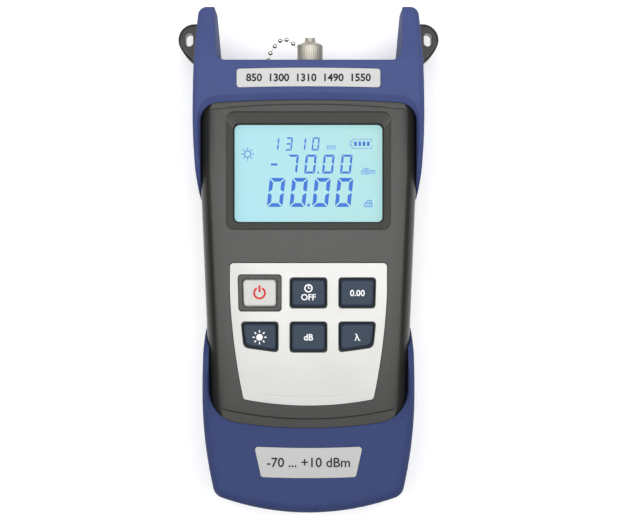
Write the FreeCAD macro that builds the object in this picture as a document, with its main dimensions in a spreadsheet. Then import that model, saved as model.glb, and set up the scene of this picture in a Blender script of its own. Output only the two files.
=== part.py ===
import FreeCAD, Part
import math
import os
import re
import Sketcher

# Handheld optical power meter, millimetres.  It lies on its back: +Z comes out of the front face,
# +Y runs towards the optical port and +X is to the reader's right.  The origin is the centre of
# the footprint, on the plane the rubber guards rest on.

doc = FreeCAD.newDocument("optical_power_meter")

# ---------------------------------------------------------------- driving dimensions

SIZES = {
    # whole instrument
    "total_length": 190.0, "guard_depth": 44.0, "back_step": 2.0, "front_step": 1.8,
    "parting_height": 21.0, "wall": 2.2, "seat_gap": 0.15, "shoulder_radius": 7.4,
    "back_radius": 4.4,
    # grey housing, seen from the front
    "top_half_width": 40.8, "taper_drop": 62.0, "waist_half_width": 36.9, "waist_rise": 36.0,
    "foot_half_width": 32.2, "housing_corner": 9.5, "foot_corner": 9.0,
    "face_step": 0.5, "face_band_top": 1.6, "face_band_foot": 3.4, "face_top_radius": 344.0,
    "face_foot_radius": 142.0,
    # rubber guards
    "guard_end_wall": 2.5, "foot_wall": 2.6, "foot_radius": 97.0, "horn_length": 21.0,
    "horn_half_gap": 34.4, "horn_flare": 1.2, "horn_root_radius": 3.5, "horn_corner": 3.4,
    "horn_tip_drop": 7.5, "horn_tip_back": 14.0, "horn_back_start": 17.0, "crease_drop": 1.0,
    "guard_rim": 2.6, "fold_radius": 9.0, "horn_tip_half_width": 41.4, "guard_half_width": 43.3,
    "widest_drop": 40.0, "tongue_half_width": 40.95, "tongue_reach": 73.0,
    "top_side_radius": 421.0, "tongue_side_radius": 227.0,
    "window_drop": 35.8, "window_top_radius": 555.0, "window_half_width": 40.5,
    "window_corner": 7.0, "top_bevel": 2.6, "bevel_depth": 1.5, "bevel_side": 0.9,
    "foot_guard_half_width": 39.7, "foot_widest_rise": 46.0, "foot_tip_half_width": 38.9,
    "foot_tongue_reach": 69.0, "foot_tongue_side": 331.0, "foot_side_radius": 160.0,
    "foot_guard_corner": 5.0, "foot_guard_rim": 4.0, "foot_window_rise": 31.8,
    "foot_window_corner": 12.5, "foot_window_radius": 177.0, "foot_window_half_width": 37.3,
    "foot_bevel": 3.7, "guard_foot_half": 35.0,
    # strap lugs
    "lug_thickness": 8.0, "lug_base": 12.0, "lug_radius": 6.2, "lug_centre_x": 44.2,
    "lug_drop": 10.4, "lug_reach": 9.4, "lug_heel_radius": 17.3, "lug_rim": 1.2,
    "lug_nose_angle": 25.0, "lug_hole_width": 3.0, "lug_hole_length": 5.2, "lug_hole_x": 46.1,
    "horn_core_inner": 37.2, "horn_core_outer": 39.6, "horn_core_tip": 5.0,
    "horn_core_base": 12.0, "core_top_drop": 11.0, "core_root_drop": 35.0,
    # liquid crystal display and its window
    "display_drop": 63.1, "window_width": 56.4, "window_height": 37.4, "pane_corner": 2.1,
    "bezel_side": 2.6, "bezel_top": 4.3, "bezel_foot": 2.4, "bezel_depth": 2.0,
    "bezel_corner": 3.2, "lip_thickness": 1.2, "pane_margin": 1.5, "pane_thickness": 1.5,
    "gasket_thickness": 0.8, "glass_thickness": 2.2, "backlight_thickness": 3.0,
    "frame_block_wall": 2.4, "fit_gap": 0.2,
    # keypad
    "plate_top": 1.7, "plate_half_width": 29.25, "plate_straight": 12.5,
    "plate_foot_half_width": 24.2, "plate_foot_rise": 42.6, "plate_sag_radius": 125.0,
    "plate_side_radius": 237.0, "plate_corner": 1.4, "plate_thickness": 0.8,
    "plate_proud": 0.2, "plate_gap": 0.15,
    "key_width": 12.3, "key_height": 9.8, "key_pitch_x": 18.2, "key_pitch_y": 16.45,
    "key_row": 12.8, "key_proud": 1.7, "key_corner": 1.3, "key_edge": 0.7,
    "key_slant_upper": 0.3, "key_slant_lower": 1.0, "key_gap": 0.95, "key_slot_gap": 0.5,
    "key_flange": 1.0, "flange_thickness": 1.2, "key_travel": 0.9, "travel_gap": 0.1,
    "power_frame_wall": 1.5, "power_frame_gap": 0.4, "power_frame_proud": 0.7,
    "key_foot_lift": 1.8, "outer_corner": 2.4,
    "mat_thickness": 1.2, "mat_margin": 3.0, "collar_wall": 0.7, "pill_radius": 2.2,
    # board
    "board_thickness": 1.6, "board_half_width": 31.5, "board_drop": 39.0, "board_rise": 37.5,
    "board_corner": 2.0, "board_post_radius": 2.6, "board_post_x": 27.5, "post_drop": 26.4,
    "post_rise": 45.0,
    "board_screw_radius": 1.1, "board_screw_head": 2.1, "board_screw_head_height": 1.2,
    "board_screw_length": 5.5,
    # optical port, cap and chain
    "port_offset": 0.6, "port_flange_side": 13.0,
    "port_flange_thickness": 2.0, "port_nose_radius": 3.9, "port_nose_length": 7.0,
    "port_barrel_radius": 3.4, "port_barrel_length": 5.0, "port_slot_width": 2.0, "ferrule_bore": 1.25,
    "sleeve_wall": 0.35, "sleeve_length": 8.0, "sleeve_split": 0.4, "port_screw_pitch": 4.75,
    "port_screw_radius": 0.9, "port_screw_head": 1.5, "port_screw_head_height": 0.9,
    "port_screw_length": 4.5, "guard_port_half": 10.5, "guard_port_reach": 20.5,
    "guard_port_height": 17.0, "diode_radius": 2.3, "diode_length": 3.2,
    "diode_base_radius": 2.65, "diode_lead_radius": 0.23,
    "cap_radius": 4.9, "cap_length": 7.9, "cap_cone": 1.8, "cap_neck_radius": 2.7,
    "cap_thread_gap": 0.08, "cap_stand_off": 0.25,
    "flute_count": 24.0, "flute_depth": 0.18, "flute_radius": 0.45,
    "rivet_radius": 2.0, "rivet_height": 1.6,
    "bead_radius": 0.9, "link_radius": 0.28, "chain_gap": 0.24, "anchor_radius": 1.5, "anchor_height": 1.3,
    "anchor_shank": 3.4, "anchor_shank_radius": 0.8, "anchor_x": 15.8,
    # battery bay
    "cell_radius": 7.1, "cell_length": 49.2, "cell_nub_radius": 2.75, "cell_nub": 1.1,
    "cell_gap": 0.3, "bay_top": 4.0, "bay_side_gap": 0.5, "bay_wall": 2.0, "contact_gap": 0.1,
    "contact_thickness": 0.4, "contact_width": 9.0, "spring_reach": 3.4,
    "spring_half_height": 4.2, "contact_height": 11.0, "bow_thickness": 0.56, "bow_foot": 0.72,
    "cover_thickness": 1.8, "cover_margin": 1.5, "cover_gap": 0.25, "cover_grip_count": 5.0,
    "cover_grip_pitch": 2.2, "cover_grip_width": 1.0, "cover_grip_depth": 0.5,
    "cover_grip_length": 16.0,
    # housing screws
    "screw_x_top": 30.5, "screw_drop": 33.2, "screw_x_foot": 24.0, "screw_rise": 16.0,
    "boss_radius": 4.2, "screw_radius": 1.4, "screw_head_radius": 2.7, "screw_head_height": 2.0,
    "screw_length": 22.0, "screw_gap": 0.05, "screw_sink": 6.0,
    # nameplates
    "label_thickness": 0.5, "label_recess": 0.4, "label_gap": 0.1, "label_corner": 1.1,
    "top_label_width": 53.4, "top_label_height": 6.9, "top_label_drop": 27.9,
    "top_label_radius": 900.0,
    "foot_label_rise": 25.1, "foot_label_height": 11.3, "foot_label_half_top": 20.1,
    "foot_label_half_foot": 17.6, "foot_label_radius": 400.0,
    # parts on the board
    "chip_side": 12.0, "chip_thickness": 1.6, "chip_pitch": 20.0, "buzzer_radius": 6.0,
    "buzzer_height": 4.5, "strip_width": 2.0,
}

# Stations and levels that hang on the ends of the instrument, or on its depth, so that they
# follow when these change.  Those of the lower half are distances below the origin.
STATIONS = {
    "taper_start": "total_length / 2 - taper_drop",
    "waist_level": "total_length / 2 - waist_rise",
    "guard_widest": "total_length / 2 - widest_drop",
    "tongue_tip": "total_length / 2 - tongue_reach",
    "window_top": "total_length / 2 - window_drop",
    "foot_guard_widest": "total_length / 2 - foot_widest_rise",
    "foot_tongue_tip": "total_length / 2 - foot_tongue_reach",
    "foot_window": "total_length / 2 - foot_window_rise",
    "lug_centre_y": "total_length / 2 - lug_drop",
    "horn_core_root": "total_length / 2 - core_root_drop",
    "display_centre": "total_length / 2 - display_drop",
    "plate_foot": "total_length / 2 - plate_foot_rise",
    "board_top": "total_length / 2 - board_drop",
    "board_foot": "total_length / 2 - board_rise",
    "board_post_top": "total_length / 2 - display_drop - post_drop",
    "board_post_foot": "total_length / 2 - post_rise",
    "screw_y_top": "total_length / 2 - screw_drop",
    "screw_y_foot": "total_length / 2 - screw_rise",
    "top_label_level": "total_length / 2 - top_label_drop",
    "foot_label_top": "total_length / 2 - foot_label_rise",
    "port_height": "guard_depth / 2",
    "tongue_radius": "guard_depth / 2",
    "horn_tip_front": "guard_depth - horn_tip_drop",
    "horn_core_top": "guard_depth - core_top_drop",
}

sheet = doc.addObject("Spreadsheet::Sheet", "Sizes")
for row, (alias, number) in enumerate(SIZES.items(), start=1):
    sheet.set(f"A{row}", alias)
    sheet.set(f"B{row}", str(number))
    sheet.setAlias(f"B{row}", alias)
doc.recompute()

# Levels and stations that several pieces share, worked out from the sizes above.
FRONT = "(guard_depth - front_step)"
INNER_FRONT = "(guard_depth - front_step - wall)"
INNER_BACK = "(back_step + wall)"
TIP_Y = "(total_length / 2)"
SLOT_Y = "(total_length / 2 - horn_length)"
HOUSING_TOP = "(total_length / 2 - horn_length - guard_end_wall - seat_gap)"
FOOT_CENTRE = "(foot_radius - total_length / 2)"
PANE_FRONT = "(guard_depth - front_step - bezel_depth - lip_thickness)"
GLASS_FRONT = f"({PANE_FRONT} - pane_thickness - gasket_thickness)"
BOARD_FRONT = f"({GLASS_FRONT} - glass_thickness - backlight_thickness)"
BOARD_BACK = f"({BOARD_FRONT} - board_thickness)"


def linked(text):
    """Work out every station named in the text, and make every size read its cell in the sheet."""
    name = r"[a-z][a-z0-9_]*"
    text = re.sub(name, lambda w: f"({STATIONS[w[0]]})" if w[0] in STATIONS else w[0], str(text))
    return re.sub(name, lambda w: "Sizes." + w[0] if w[0] in SIZES else w[0], text)


def value(text):
    """The number that an expression on the sizes stands for."""
    return float(sheet.evalExpression(linked(text)))


def bind(item, **fields):
    """Bind properties of an object to expressions; a double underscore stands for a dot."""
    for field, text in fields.items():
        item.setExpression(field.replace("__", "."), linked(text))
    return item


def place(item, x="0", y="0", z="0"):
    return bind(item, Placement__Base__x=x, Placement__Base__y=y, Placement__Base__z=z)


# ---------------------------------------------------------------- small builders


def box(name, x, y, z):
    """A box between two levels on each axis; x, y and z are (low, high) pairs."""
    item = doc.addObject("Part::Box", name)
    bind(item, Length=f"({x[1]}) - ({x[0]})", Width=f"({y[1]}) - ({y[0]})",
         Height=f"({z[1]}) - ({z[0]})")
    return place(item, x[0], y[0], z[0])


def rod(name, axis, centre, radius, length):
    """A cylinder that starts at a centre and runs along +Y, +Z or +X."""
    turns = {"x": FreeCAD.Rotation(FreeCAD.Vector(0, 1, 0), 90),
             "y": FreeCAD.Rotation(FreeCAD.Vector(1, 0, 0), -90), "z": FreeCAD.Rotation()}
    item = doc.addObject("Part::Cylinder", name)
    item.Placement = FreeCAD.Placement(FreeCAD.Vector(), turns[axis])
    bind(item, Radius=radius, Height=length)
    return place(item, *centre)


def fuse(name, *pieces):
    item = doc.addObject("Part::MultiFuse", name)
    item.Shapes = list(pieces)
    return item


def cut(name, base, *tools):
    item = doc.addObject("Part::Cut", name)
    item.Base = base
    item.Tool = tools[0] if len(tools) == 1 else fuse(name + "_tools", *tools)
    return item


def carve(name, base, *tools):
    """Take tools off one after another, for tools that run into each other."""
    for number, tool in enumerate(tools[:-1]):
        base = cut(f"{name}_less_{number}", base, tool)
    return cut(name, base, tools[-1])


def common(name, first, second):
    item = doc.addObject("Part::Common", name)
    item.Base, item.Tool = first, second
    return item


def group(name, *pieces):
    """Several separate solids that make one node."""
    item = doc.addObject("Part::Compound", name)
    item.Links = list(pieces)
    return item


def new_body(name):
    return doc.addObject("PartDesign::Body", name)


def origin_plane(body, role):
    return next(item for item in body.Origin.OriginFeatures if item.Role == role)


def sketch(body, plane, corners, arcs=None, lift="0"):
    """A closed sketch on one of the body's planes, its corners listed counterclockwise.

    Each side is straight, unless arcs gives its number a radius: a radius alone bulges outwards
    and ("in", radius) bulges inwards.  Every corner and radius is bound to the sheet.
    """
    arcs = arcs or {}
    item = body.newObject("Sketcher::SketchObject", body.Name + "_sketch")
    item.AttachmentSupport = [(origin_plane(body, plane + "_Plane"), "")]
    item.MapMode = "FlatFace"
    item.setExpression("AttachmentOffset.Base.z", linked(lift))
    points = [FreeCAD.Vector(value(x), value(y), 0) for x, y in corners]
    up = FreeCAD.Vector(0, 0, 1)
    ends = []
    for number, start in enumerate(points):
        stop = points[(number + 1) % len(points)]
        if number not in arcs:
            ends.append((item.addGeometry(Part.LineSegment(start, stop)), 1, 2))
            continue
        inwards = isinstance(arcs[number], tuple)
        radius = value(arcs[number][1] if inwards else arcs[number])
        chord = stop - start
        rise = math.sqrt(radius ** 2 - (chord.Length / 2) ** 2)
        left = up.cross(chord).normalize() * (-rise if inwards else rise)
        centre = (start + stop) * 0.5 + left
        first, last = (stop, start) if inwards else (start, stop)
        angles = [math.atan2(p.y - centre.y, p.x - centre.x) for p in (first, last)]
        arc = Part.ArcOfCircle(Part.Circle(centre, up, radius), *angles)
        ends.append((item.addGeometry(arc), *((2, 1) if inwards else (1, 2))))
    for number, (side, start, stop) in enumerate(ends):
        after, after_start, _ = ends[(number + 1) % len(ends)]
        item.addConstraint(Sketcher.Constraint("Coincident", side, stop, after, after_start))
    for number, (side, start, stop) in enumerate(ends):
        for kind, axis, text, here in (("DistanceX", -2, corners[number][0], points[number].x),
                                       ("DistanceY", -1, corners[number][1], points[number].y)):
            if abs(here) < 1e-9:
                item.addConstraint(Sketcher.Constraint("PointOnObject", side, start, axis))
                continue
            at = item.addConstraint(Sketcher.Constraint(kind, -1, 1, side, start, here))
            item.setExpression(f"Constraints[{at}]", linked(text))
        if number in arcs:
            text = arcs[number][1] if isinstance(arcs[number], tuple) else arcs[number]
            at = item.addConstraint(Sketcher.Constraint("Radius", side, value(text)))
            item.setExpression(f"Constraints[{at}]", linked(text))
    return item


def pad(body, profile, length, kind="PartDesign::Pad", **settings):
    """Pad or pocket a sketch by a length bound to the sheet."""
    item = body.newObject(kind, f"{body.Name}_{kind[12:].lower()}")
    item.Profile = profile
    for name, setting in settings.items():
        setattr(item, name, setting)
    bind(item, Length=length)
    doc.recompute()
    return item


def pocket(body, profile, length, **settings):
    return pad(body, profile, length, kind="PartDesign::Pocket", **settings)


def edges(feature, test):
    """Names of the feature's edges that pass a test on their vertices."""
    found = []
    for number, edge in enumerate(feature.Shape.Edges, start=1):
        points = [edge.valueAt(edge.FirstParameter + share * (edge.LastParameter - edge.FirstParameter))
                  for share in (0.0, 0.5, 1.0)]
        if test(points):
            found.append(f"Edge{number}")
    return found


def upright_at(*corners):
    """A test for edges that stand along Z at one of the given (x, y) corners."""
    spots = [(value(x), value(y)) for x, y in corners]

    def test(points):
        level = all(math.hypot(p.x - points[0].x, p.y - points[0].y) < 1e-4 for p in points)
        return level and any(math.hypot(points[0].x - x, points[0].y - y) < 0.02 for x, y in spots)
    return test


def flat_at(height):
    """A test for edges that lie in the plane at one height."""
    level = value(height)
    return lambda points: all(abs(p.z - level) < 1e-4 for p in points)


def fillet(body, base, test, radius):
    item = body.newObject("PartDesign::Fillet", body.Name + "_fillet")
    item.Base = (base, edges(base, test))
    bind(item, Radius=radius)
    doc.recompute()
    return item


def mirrored(corners):
    """The corners on the right, followed by the same ones on the left in reverse."""
    return corners + [(f"-({x})", y) for x, y in reversed(corners)]


# ---------------------------------------------------------------- grey housing


def housing_form(name, inset, back, front):
    """The closed form of the housing, drawn in by an inset; its front rim is rounder."""
    body = new_body(name)
    arc = f"(foot_radius - foot_wall - seat_gap - ({inset}))"
    foot_x = f"(foot_half_width - ({inset}))"
    foot_y = f"({FOOT_CENTRE} - sqrt({arc}^2 - {foot_x}^2))"
    waist = (f"waist_half_width - ({inset})", "-waist_level")
    shoulder = (f"top_half_width - ({inset})", "taper_start")
    top = (f"top_half_width - ({inset})", f"{HOUSING_TOP} - ({inset})")
    right = [(foot_x, foot_y), waist, shoulder, top]
    side = f"(foot_side_radius - foot_wall - seat_gap - ({inset}))"
    outline = sketch(body, "XY", mirrored(right), {0: side, 6: side, 7: arc}, lift=back)
    solid = pad(body, outline, f"({front}) - ({back})")
    solid = fillet(body, solid, upright_at(*mirrored([top])), f"housing_corner - ({inset})")
    solid = fillet(body, solid, upright_at(*mirrored([(foot_x, foot_y)])), f"foot_corner - ({inset})")
    solid = fillet(body, solid, flat_at(front), f"shoulder_radius - ({inset})")
    fillet(body, solid, flat_at(back), f"back_radius - ({inset})")
    return body



def wedge(body, corners, width):
    """Cut a wedge, drawn on the YZ plane, right across the body."""
    return pocket(body, sketch(body, "YZ", corners), width, SideType="Symmetric")


def tongue_cut(name, sign, tip):
    """What is taken off a guard so that its sides end in a round tongue."""
    reach = f"(({sign}) * ({tip} + tongue_radius))"
    low, high = ("-total_length", reach) if sign == "1" else (reach, "total_length")
    slab = box(name + "_slab", ("-total_length", "total_length"), (low, high),
               ("-guard_depth", "2 * guard_depth"))
    wheel = rod(name + "_wheel", "x", ("-total_length", reach, "guard_depth / 2"),
                "tongue_radius", "2 * total_length")
    return cut(name, slab, wheel)


def top_guard_form():
    """The upper rubber guard before it is hollowed: a slab with two horns."""
    body = new_body("top_guard_form")
    right = [("tongue_half_width", "tongue_tip"), ("guard_half_width", "guard_widest"),
             ("horn_tip_half_width", TIP_Y)]
    outline = sketch(body, "XY", mirrored(right), {
        0: "tongue_side_radius", 1: "top_side_radius", 3: "top_side_radius",
        4: "tongue_side_radius"})
    solid = pad(body, outline, "guard_depth")
    solid = fillet(body, solid, upright_at(*mirrored(right[2:])), "horn_corner")
    beyond = f"({TIP_Y} + 1)"
    crease = f"({SLOT_Y} - crease_drop)"
    wedge(body, [(crease, "guard_depth"), (beyond, "horn_tip_front"), (beyond, "guard_depth + 1"),
                 (crease, "guard_depth + 1")], "2 * total_length")
    back = f"({TIP_Y} - horn_back_start)"
    solid = wedge(body, [(back, "0"), (back, "-1"), (beyond, "-1"), (beyond, "horn_tip_back")],
                  "2 * total_length")
    low, crest = value("tongue_tip") + 1, value(crease)

    def folds(points):
        across = all(abs(p.y - points[0].y) < 1e-4 for p in points)
        return across and any(abs(points[1].y - y) < 1e-4 for y in (crest, value(back)))
    solid = fillet(body, solid, folds, "fold_radius")

    def rims(points):
        middle = points[1]
        rim = abs(middle.z - value("guard_depth")) < 1e-4 or middle.z < 1e-4 or middle.y > crest
        across = all(abs(p.y - points[0].y) < 1e-4 for p in points) and middle.y < value(TIP_Y) - 0.1
        upright = abs(points[0].z - points[2].z) > value("horn_tip_front - horn_tip_back") - 2
        return rim and middle.y > low and not across and not upright
    solid = fillet(body, solid, rims, "guard_rim")
    slot = [("-horn_half_gap", SLOT_Y), ("horn_half_gap", SLOT_Y),
            ("horn_half_gap + horn_flare", beyond), ("-horn_half_gap - horn_flare", beyond)]
    solid = pocket(body, sketch(body, "XY", slot), "2 * guard_depth", SideType="Symmetric")
    roots = [("horn_half_gap", SLOT_Y), ("-horn_half_gap", SLOT_Y)]
    solid = fillet(body, solid, upright_at(*roots), "horn_root_radius")
    return body


def bottom_guard_form():
    """The lower rubber guard before it is hollowed."""
    body = new_body("bottom_guard_form")
    foot_y = f"({FOOT_CENTRE} - sqrt(foot_radius^2 - guard_foot_half^2))"
    right = [("guard_foot_half", foot_y), ("foot_guard_half_width", "-foot_guard_widest"),
             ("foot_tip_half_width", "-foot_tongue_tip")]
    outline = sketch(body, "XY", mirrored(right), {
        0: "foot_side_radius", 1: "foot_tongue_side", 3: "foot_tongue_side",
        4: "foot_side_radius", 5: "foot_radius"})
    solid = pad(body, outline, "guard_depth")
    solid = fillet(body, solid, upright_at(*mirrored(right[:1])), "foot_guard_corner")
    tip = value("-foot_tongue_tip")

    def rims(points):
        level = flat_at("guard_depth")(points) or flat_at("0")(points)
        return level and not all(abs(p.y - tip) < 1e-4 for p in points)
    fillet(body, solid, rims, "foot_guard_rim")
    return body



def window(name, sign):
    """What opens a guard's face over the housing: an arched prism with a bevelled front rim.

    sign is "1" for the upper guard and "-1" for the lower one.  The corner arcs touch both the
    straight sides and the arch, so the outline has no kink.
    """
    top = sign == "1"
    half = "window_half_width" if top else "foot_window_half_width"
    corner = "window_corner" if top else "foot_window_corner"
    reach, bevel = ("window_top", "top_bevel") if top else ("foot_window", "foot_bevel")
    arch = "window_top_radius" if top else "foot_window_radius"

    def outline(body, side, out, lift):
        """The outline, widened by side and lengthened by out."""
        wide, turn = f"({half} + {side})", f"({corner} + {side})"
        centre = f"({reach} + {out} - {arch})"
        rise = f"sqrt(({arch} - {turn})^2 - ({wide} - {turn})^2)"
        share = f"({arch} / ({arch} - {turn}))"
        shoulder = (wide, f"({centre} + {rise})")
        crown = (f"({wide} - {turn}) * {share}", f"({centre} + {rise} * {share})")
        if top:
            corners = mirrored([(wide, "-tongue_tip"), shoulder, crown])
            arcs = {1: turn, 2: arch, 3: turn}
        else:
            low = [(crown[0], f"-{crown[1]}"), (wide, f"-{shoulder[1]}"), (wide, "tongue_tip")]
            corners, arcs = mirrored(low), {0: turn, 4: turn, 5: arch}
        return sketch(body, "XY", corners, arcs, lift=lift)
    prism = new_body(name + "_prism")
    pad(prism, outline(prism, "0", "0", "-1"), "guard_depth + 2")
    rim = new_body(name + "_rim")
    loft = rim.newObject("PartDesign::AdditiveLoft", name + "_rim_loft")
    loft.Profile = outline(rim, "0", "0", "guard_depth - bevel_depth")
    loft.Sections = [outline(rim, "bevel_side", bevel, "guard_depth + 0.01")]
    loft.Ruled = True
    doc.recompute()
    return fuse(name, prism, rim)


# ---------------------------------------------------------------- outlines shared by two pieces


def slab(name, corners, arcs, back, front, rounds):
    """A flat piece with an outline in the XY plane; rounds gives (corners, radius) pairs."""
    body = new_body(name)
    solid = pad(body, sketch(body, "XY", corners, arcs, lift=back), f"({front}) - ({back})")
    for spots, radius in rounds:
        solid = fillet(body, solid, upright_at(*spots), radius)
    return body


def rectangle(half_width, low, high):
    return [(f"({half_width})", low), (f"({half_width})", high),
            (f"-({half_width})", high), (f"-({half_width})", low)]


def round_rectangle(half_width, low, high, corner):
    """Corners and arcs of a rectangle whose corners are round."""
    half, near = f"({half_width})", f"({half_width} - {corner})"
    right = [(near, low), (half, f"{low} + {corner}"), (half, f"{high} - {corner}"), (near, high)]
    return mirrored(right), {0: corner, 2: corner, 4: corner, 6: corner}


def display_slab(name, grow, back, front, corner):
    """A rounded rectangle centred on the display and larger than its window by grow all round."""
    corners = rectangle(f"window_width / 2 + {grow}",
                        f"display_centre - window_height / 2 - ({grow})",
                        f"display_centre + window_height / 2 + ({grow})")
    return slab(name, corners, None, back, front, [(corners, corner)])


def plate_slab(name, grow, back, front):
    """The keypad plate's outline: square at the top, narrower and bowed at the foot."""
    foot = (f"plate_foot_half_width + {grow}", f"-plate_foot - {grow}")
    middle = (f"plate_half_width + {grow}", "-plate_straight")
    top = (f"plate_half_width + {grow}", f"-plate_top + {grow}")
    corners = mirrored([foot, middle, top])
    arcs = {0: "plate_side_radius", 4: "plate_side_radius", 5: "plate_sag_radius"}
    return slab(name, corners, arcs, back, front, [(mirrored([foot, top]), "plate_corner")])


def top_label_slab(name, grow, back, front):
    half, low = f"top_label_width / 2 + {grow}", f"top_label_level - top_label_height / 2 - {grow}"
    corners = rectangle(half, low, f"top_label_level + top_label_height / 2 + {grow}")
    return slab(name, corners, {1: "top_label_radius", 3: ("in", "top_label_radius")}, back, front,
                [(corners, "label_corner")])


def foot_label_slab(name, grow, back, front):
    low = f"-foot_label_top - foot_label_height - {grow}"
    corners = mirrored([(f"foot_label_half_foot + {grow}", low),
                        (f"foot_label_half_top + {grow}", f"-foot_label_top + {grow}")])
    return slab(name, corners, {1: ("in", "foot_label_radius"), 3: "foot_label_radius"}, back,
                front, [(corners, "label_corner")])


# Keys: name, column (-1 left, 0 middle, 1 right) and row (0 upper, 1 lower).
KEYS = (("power_key", -1, 0), ("auto_off_key", 0, 0), ("zero_key", 1, 0),
        ("light_key", -1, 1), ("unit_key", 0, 1), ("wavelength_key", 1, 1))


def key_corners(column, row, grow="0"):
    """Corners of a key; the outer keys follow the slant of the plate's sides and its bowed foot."""
    slant = "0" if column == 0 else ("key_slant_upper", "key_slant_lower")[row]
    lift = "key_foot_lift" if column and row else "0"
    grow = f"({grow})"
    high = f"(key_height / 2 + {grow} - key_row - {row} * key_pitch_y)"
    low = f"(-key_height / 2 - {grow} - key_row - {row} * key_pitch_y)"
    half = f"(key_width / 2 + {grow})"
    left, right = f"({column} * key_pitch_x - {half})", f"({column} * key_pitch_x + {half})"
    left_foot, right_foot = (left, low), (right, low)
    if column < 0:
        left_foot = (f"({left} + {slant})", f"({low} + {lift})")
    elif column > 0:
        right_foot = (f"({right} - {slant})", f"({low} + {lift})")
    return [right_foot, (right, high), (left, high), left_foot]


def key_slab(name, column, row, grow, back, front):
    """The key's outline as a prism: all its corners are round, and the lowest outer one more so."""
    corners = key_corners(column, row, grow)
    round_one = [corners[3 if column < 0 else 0]] if column and row else []
    rest = [corner for corner in corners if corner not in round_one]
    rounds = [(rest, "key_corner")] + ([(round_one, "outer_corner")] if round_one else [])
    return slab(name, corners, None, back, front, rounds)


# ---------------------------------------------------------------- housing halves

BAY_HALF = "(3 * cell_radius + cell_gap + bay_side_gap)"
BAY_FOOT = ("(bay_top - cell_length - cell_nub - spring_reach - 2 * contact_thickness"
            " - 2 * contact_gap)")
CELL_Z = "(back_step + cover_thickness + fit_gap + cell_radius)"
BAY_CEILING = f"({CELL_Z} + cell_radius + fit_gap)"
PLATE_FLOOR = f"({FRONT} + plate_proud - plate_thickness)"
SCREW_SPOTS = (("screw_x_top", "screw_y_top"), ("-screw_x_top", "screw_y_top"),
               ("screw_x_foot", "-screw_y_foot"), ("-screw_x_foot", "-screw_y_foot"))
POST_SPOTS = (("board_post_x", "board_post_top"), ("-board_post_x", "board_post_top"),
              ("board_post_x", "-board_post_foot"), ("-board_post_x", "-board_post_foot"))
PORT_SCREW_SPOTS = (("port_offset + port_screw_pitch", "port_height - port_screw_pitch"),
                    ("port_offset - port_screw_pitch", "port_height + port_screw_pitch"))
HEAD_SEAT = "(back_step + screw_sink)"


def port_holes(name):
    """Holes through the housing's end wall for the port, its screws and the chain's anchor."""
    start = f"{HOUSING_TOP} - 2 * wall"
    holes = [rod(name + "_barrel", "y", ("port_offset", start, "port_height"),
                 "port_barrel_radius + screw_gap", "3 * wall")]
    for number, (x, z) in enumerate(PORT_SCREW_SPOTS):
        holes.append(rod(f"{name}_screw_{number}", "y", (x, start, z),
                         "port_screw_radius + screw_gap", "3 * wall"))
    holes.append(rod(name + "_anchor", "y", ("-anchor_x", start, "port_height"),
                     "anchor_shank_radius + screw_gap", "3 * wall"))
    return holes


def face_band(name, sign):
    """The strip next to a guard where the housing's face is a step lower."""
    top = sign > 0
    half = "top_half_width"
    level = "(window_top - face_band_top)" if top else "(foot_window - face_band_foot)"
    radius = "face_top_radius" if top else "face_foot_radius"
    arch = f"({level} - {radius} + sqrt({radius}^2 - {half}^2))"
    far = f"({level} + 3 * horn_length)"
    if top:
        corners, arcs = mirrored([(half, arch), (half, far)]), {3: ("in", radius)}
    else:
        corners, arcs = mirrored([(half, f"-{far}"), (half, f"-{arch}")]), {1: ("in", radius)}
    body = new_body(name)
    pad(body, sketch(body, "XY", corners, arcs, lift=f"{FRONT} - face_step"), "2 * face_step")
    return body


def bezel():
    """The sloping recess round the display window, lofted between two rounded rectangles."""
    body = new_body("bezel")
    low = "display_centre - window_height / 2"
    high = "display_centre + window_height / 2"
    inner = round_rectangle("window_width / 2", low, high, "pane_corner")
    outer = round_rectangle("window_width / 2 + bezel_side", f"{low} - bezel_foot",
                            f"{high} + bezel_top", "bezel_corner")
    loft = body.newObject("PartDesign::AdditiveLoft", "bezel_loft")
    loft.Profile = sketch(body, "XY", *inner, lift=f"{FRONT} - bezel_depth")
    loft.Sections = [sketch(body, "XY", *outer, lift=f"{FRONT} + 0.01")]
    loft.Ruled = True
    doc.recompute()
    return body


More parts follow.
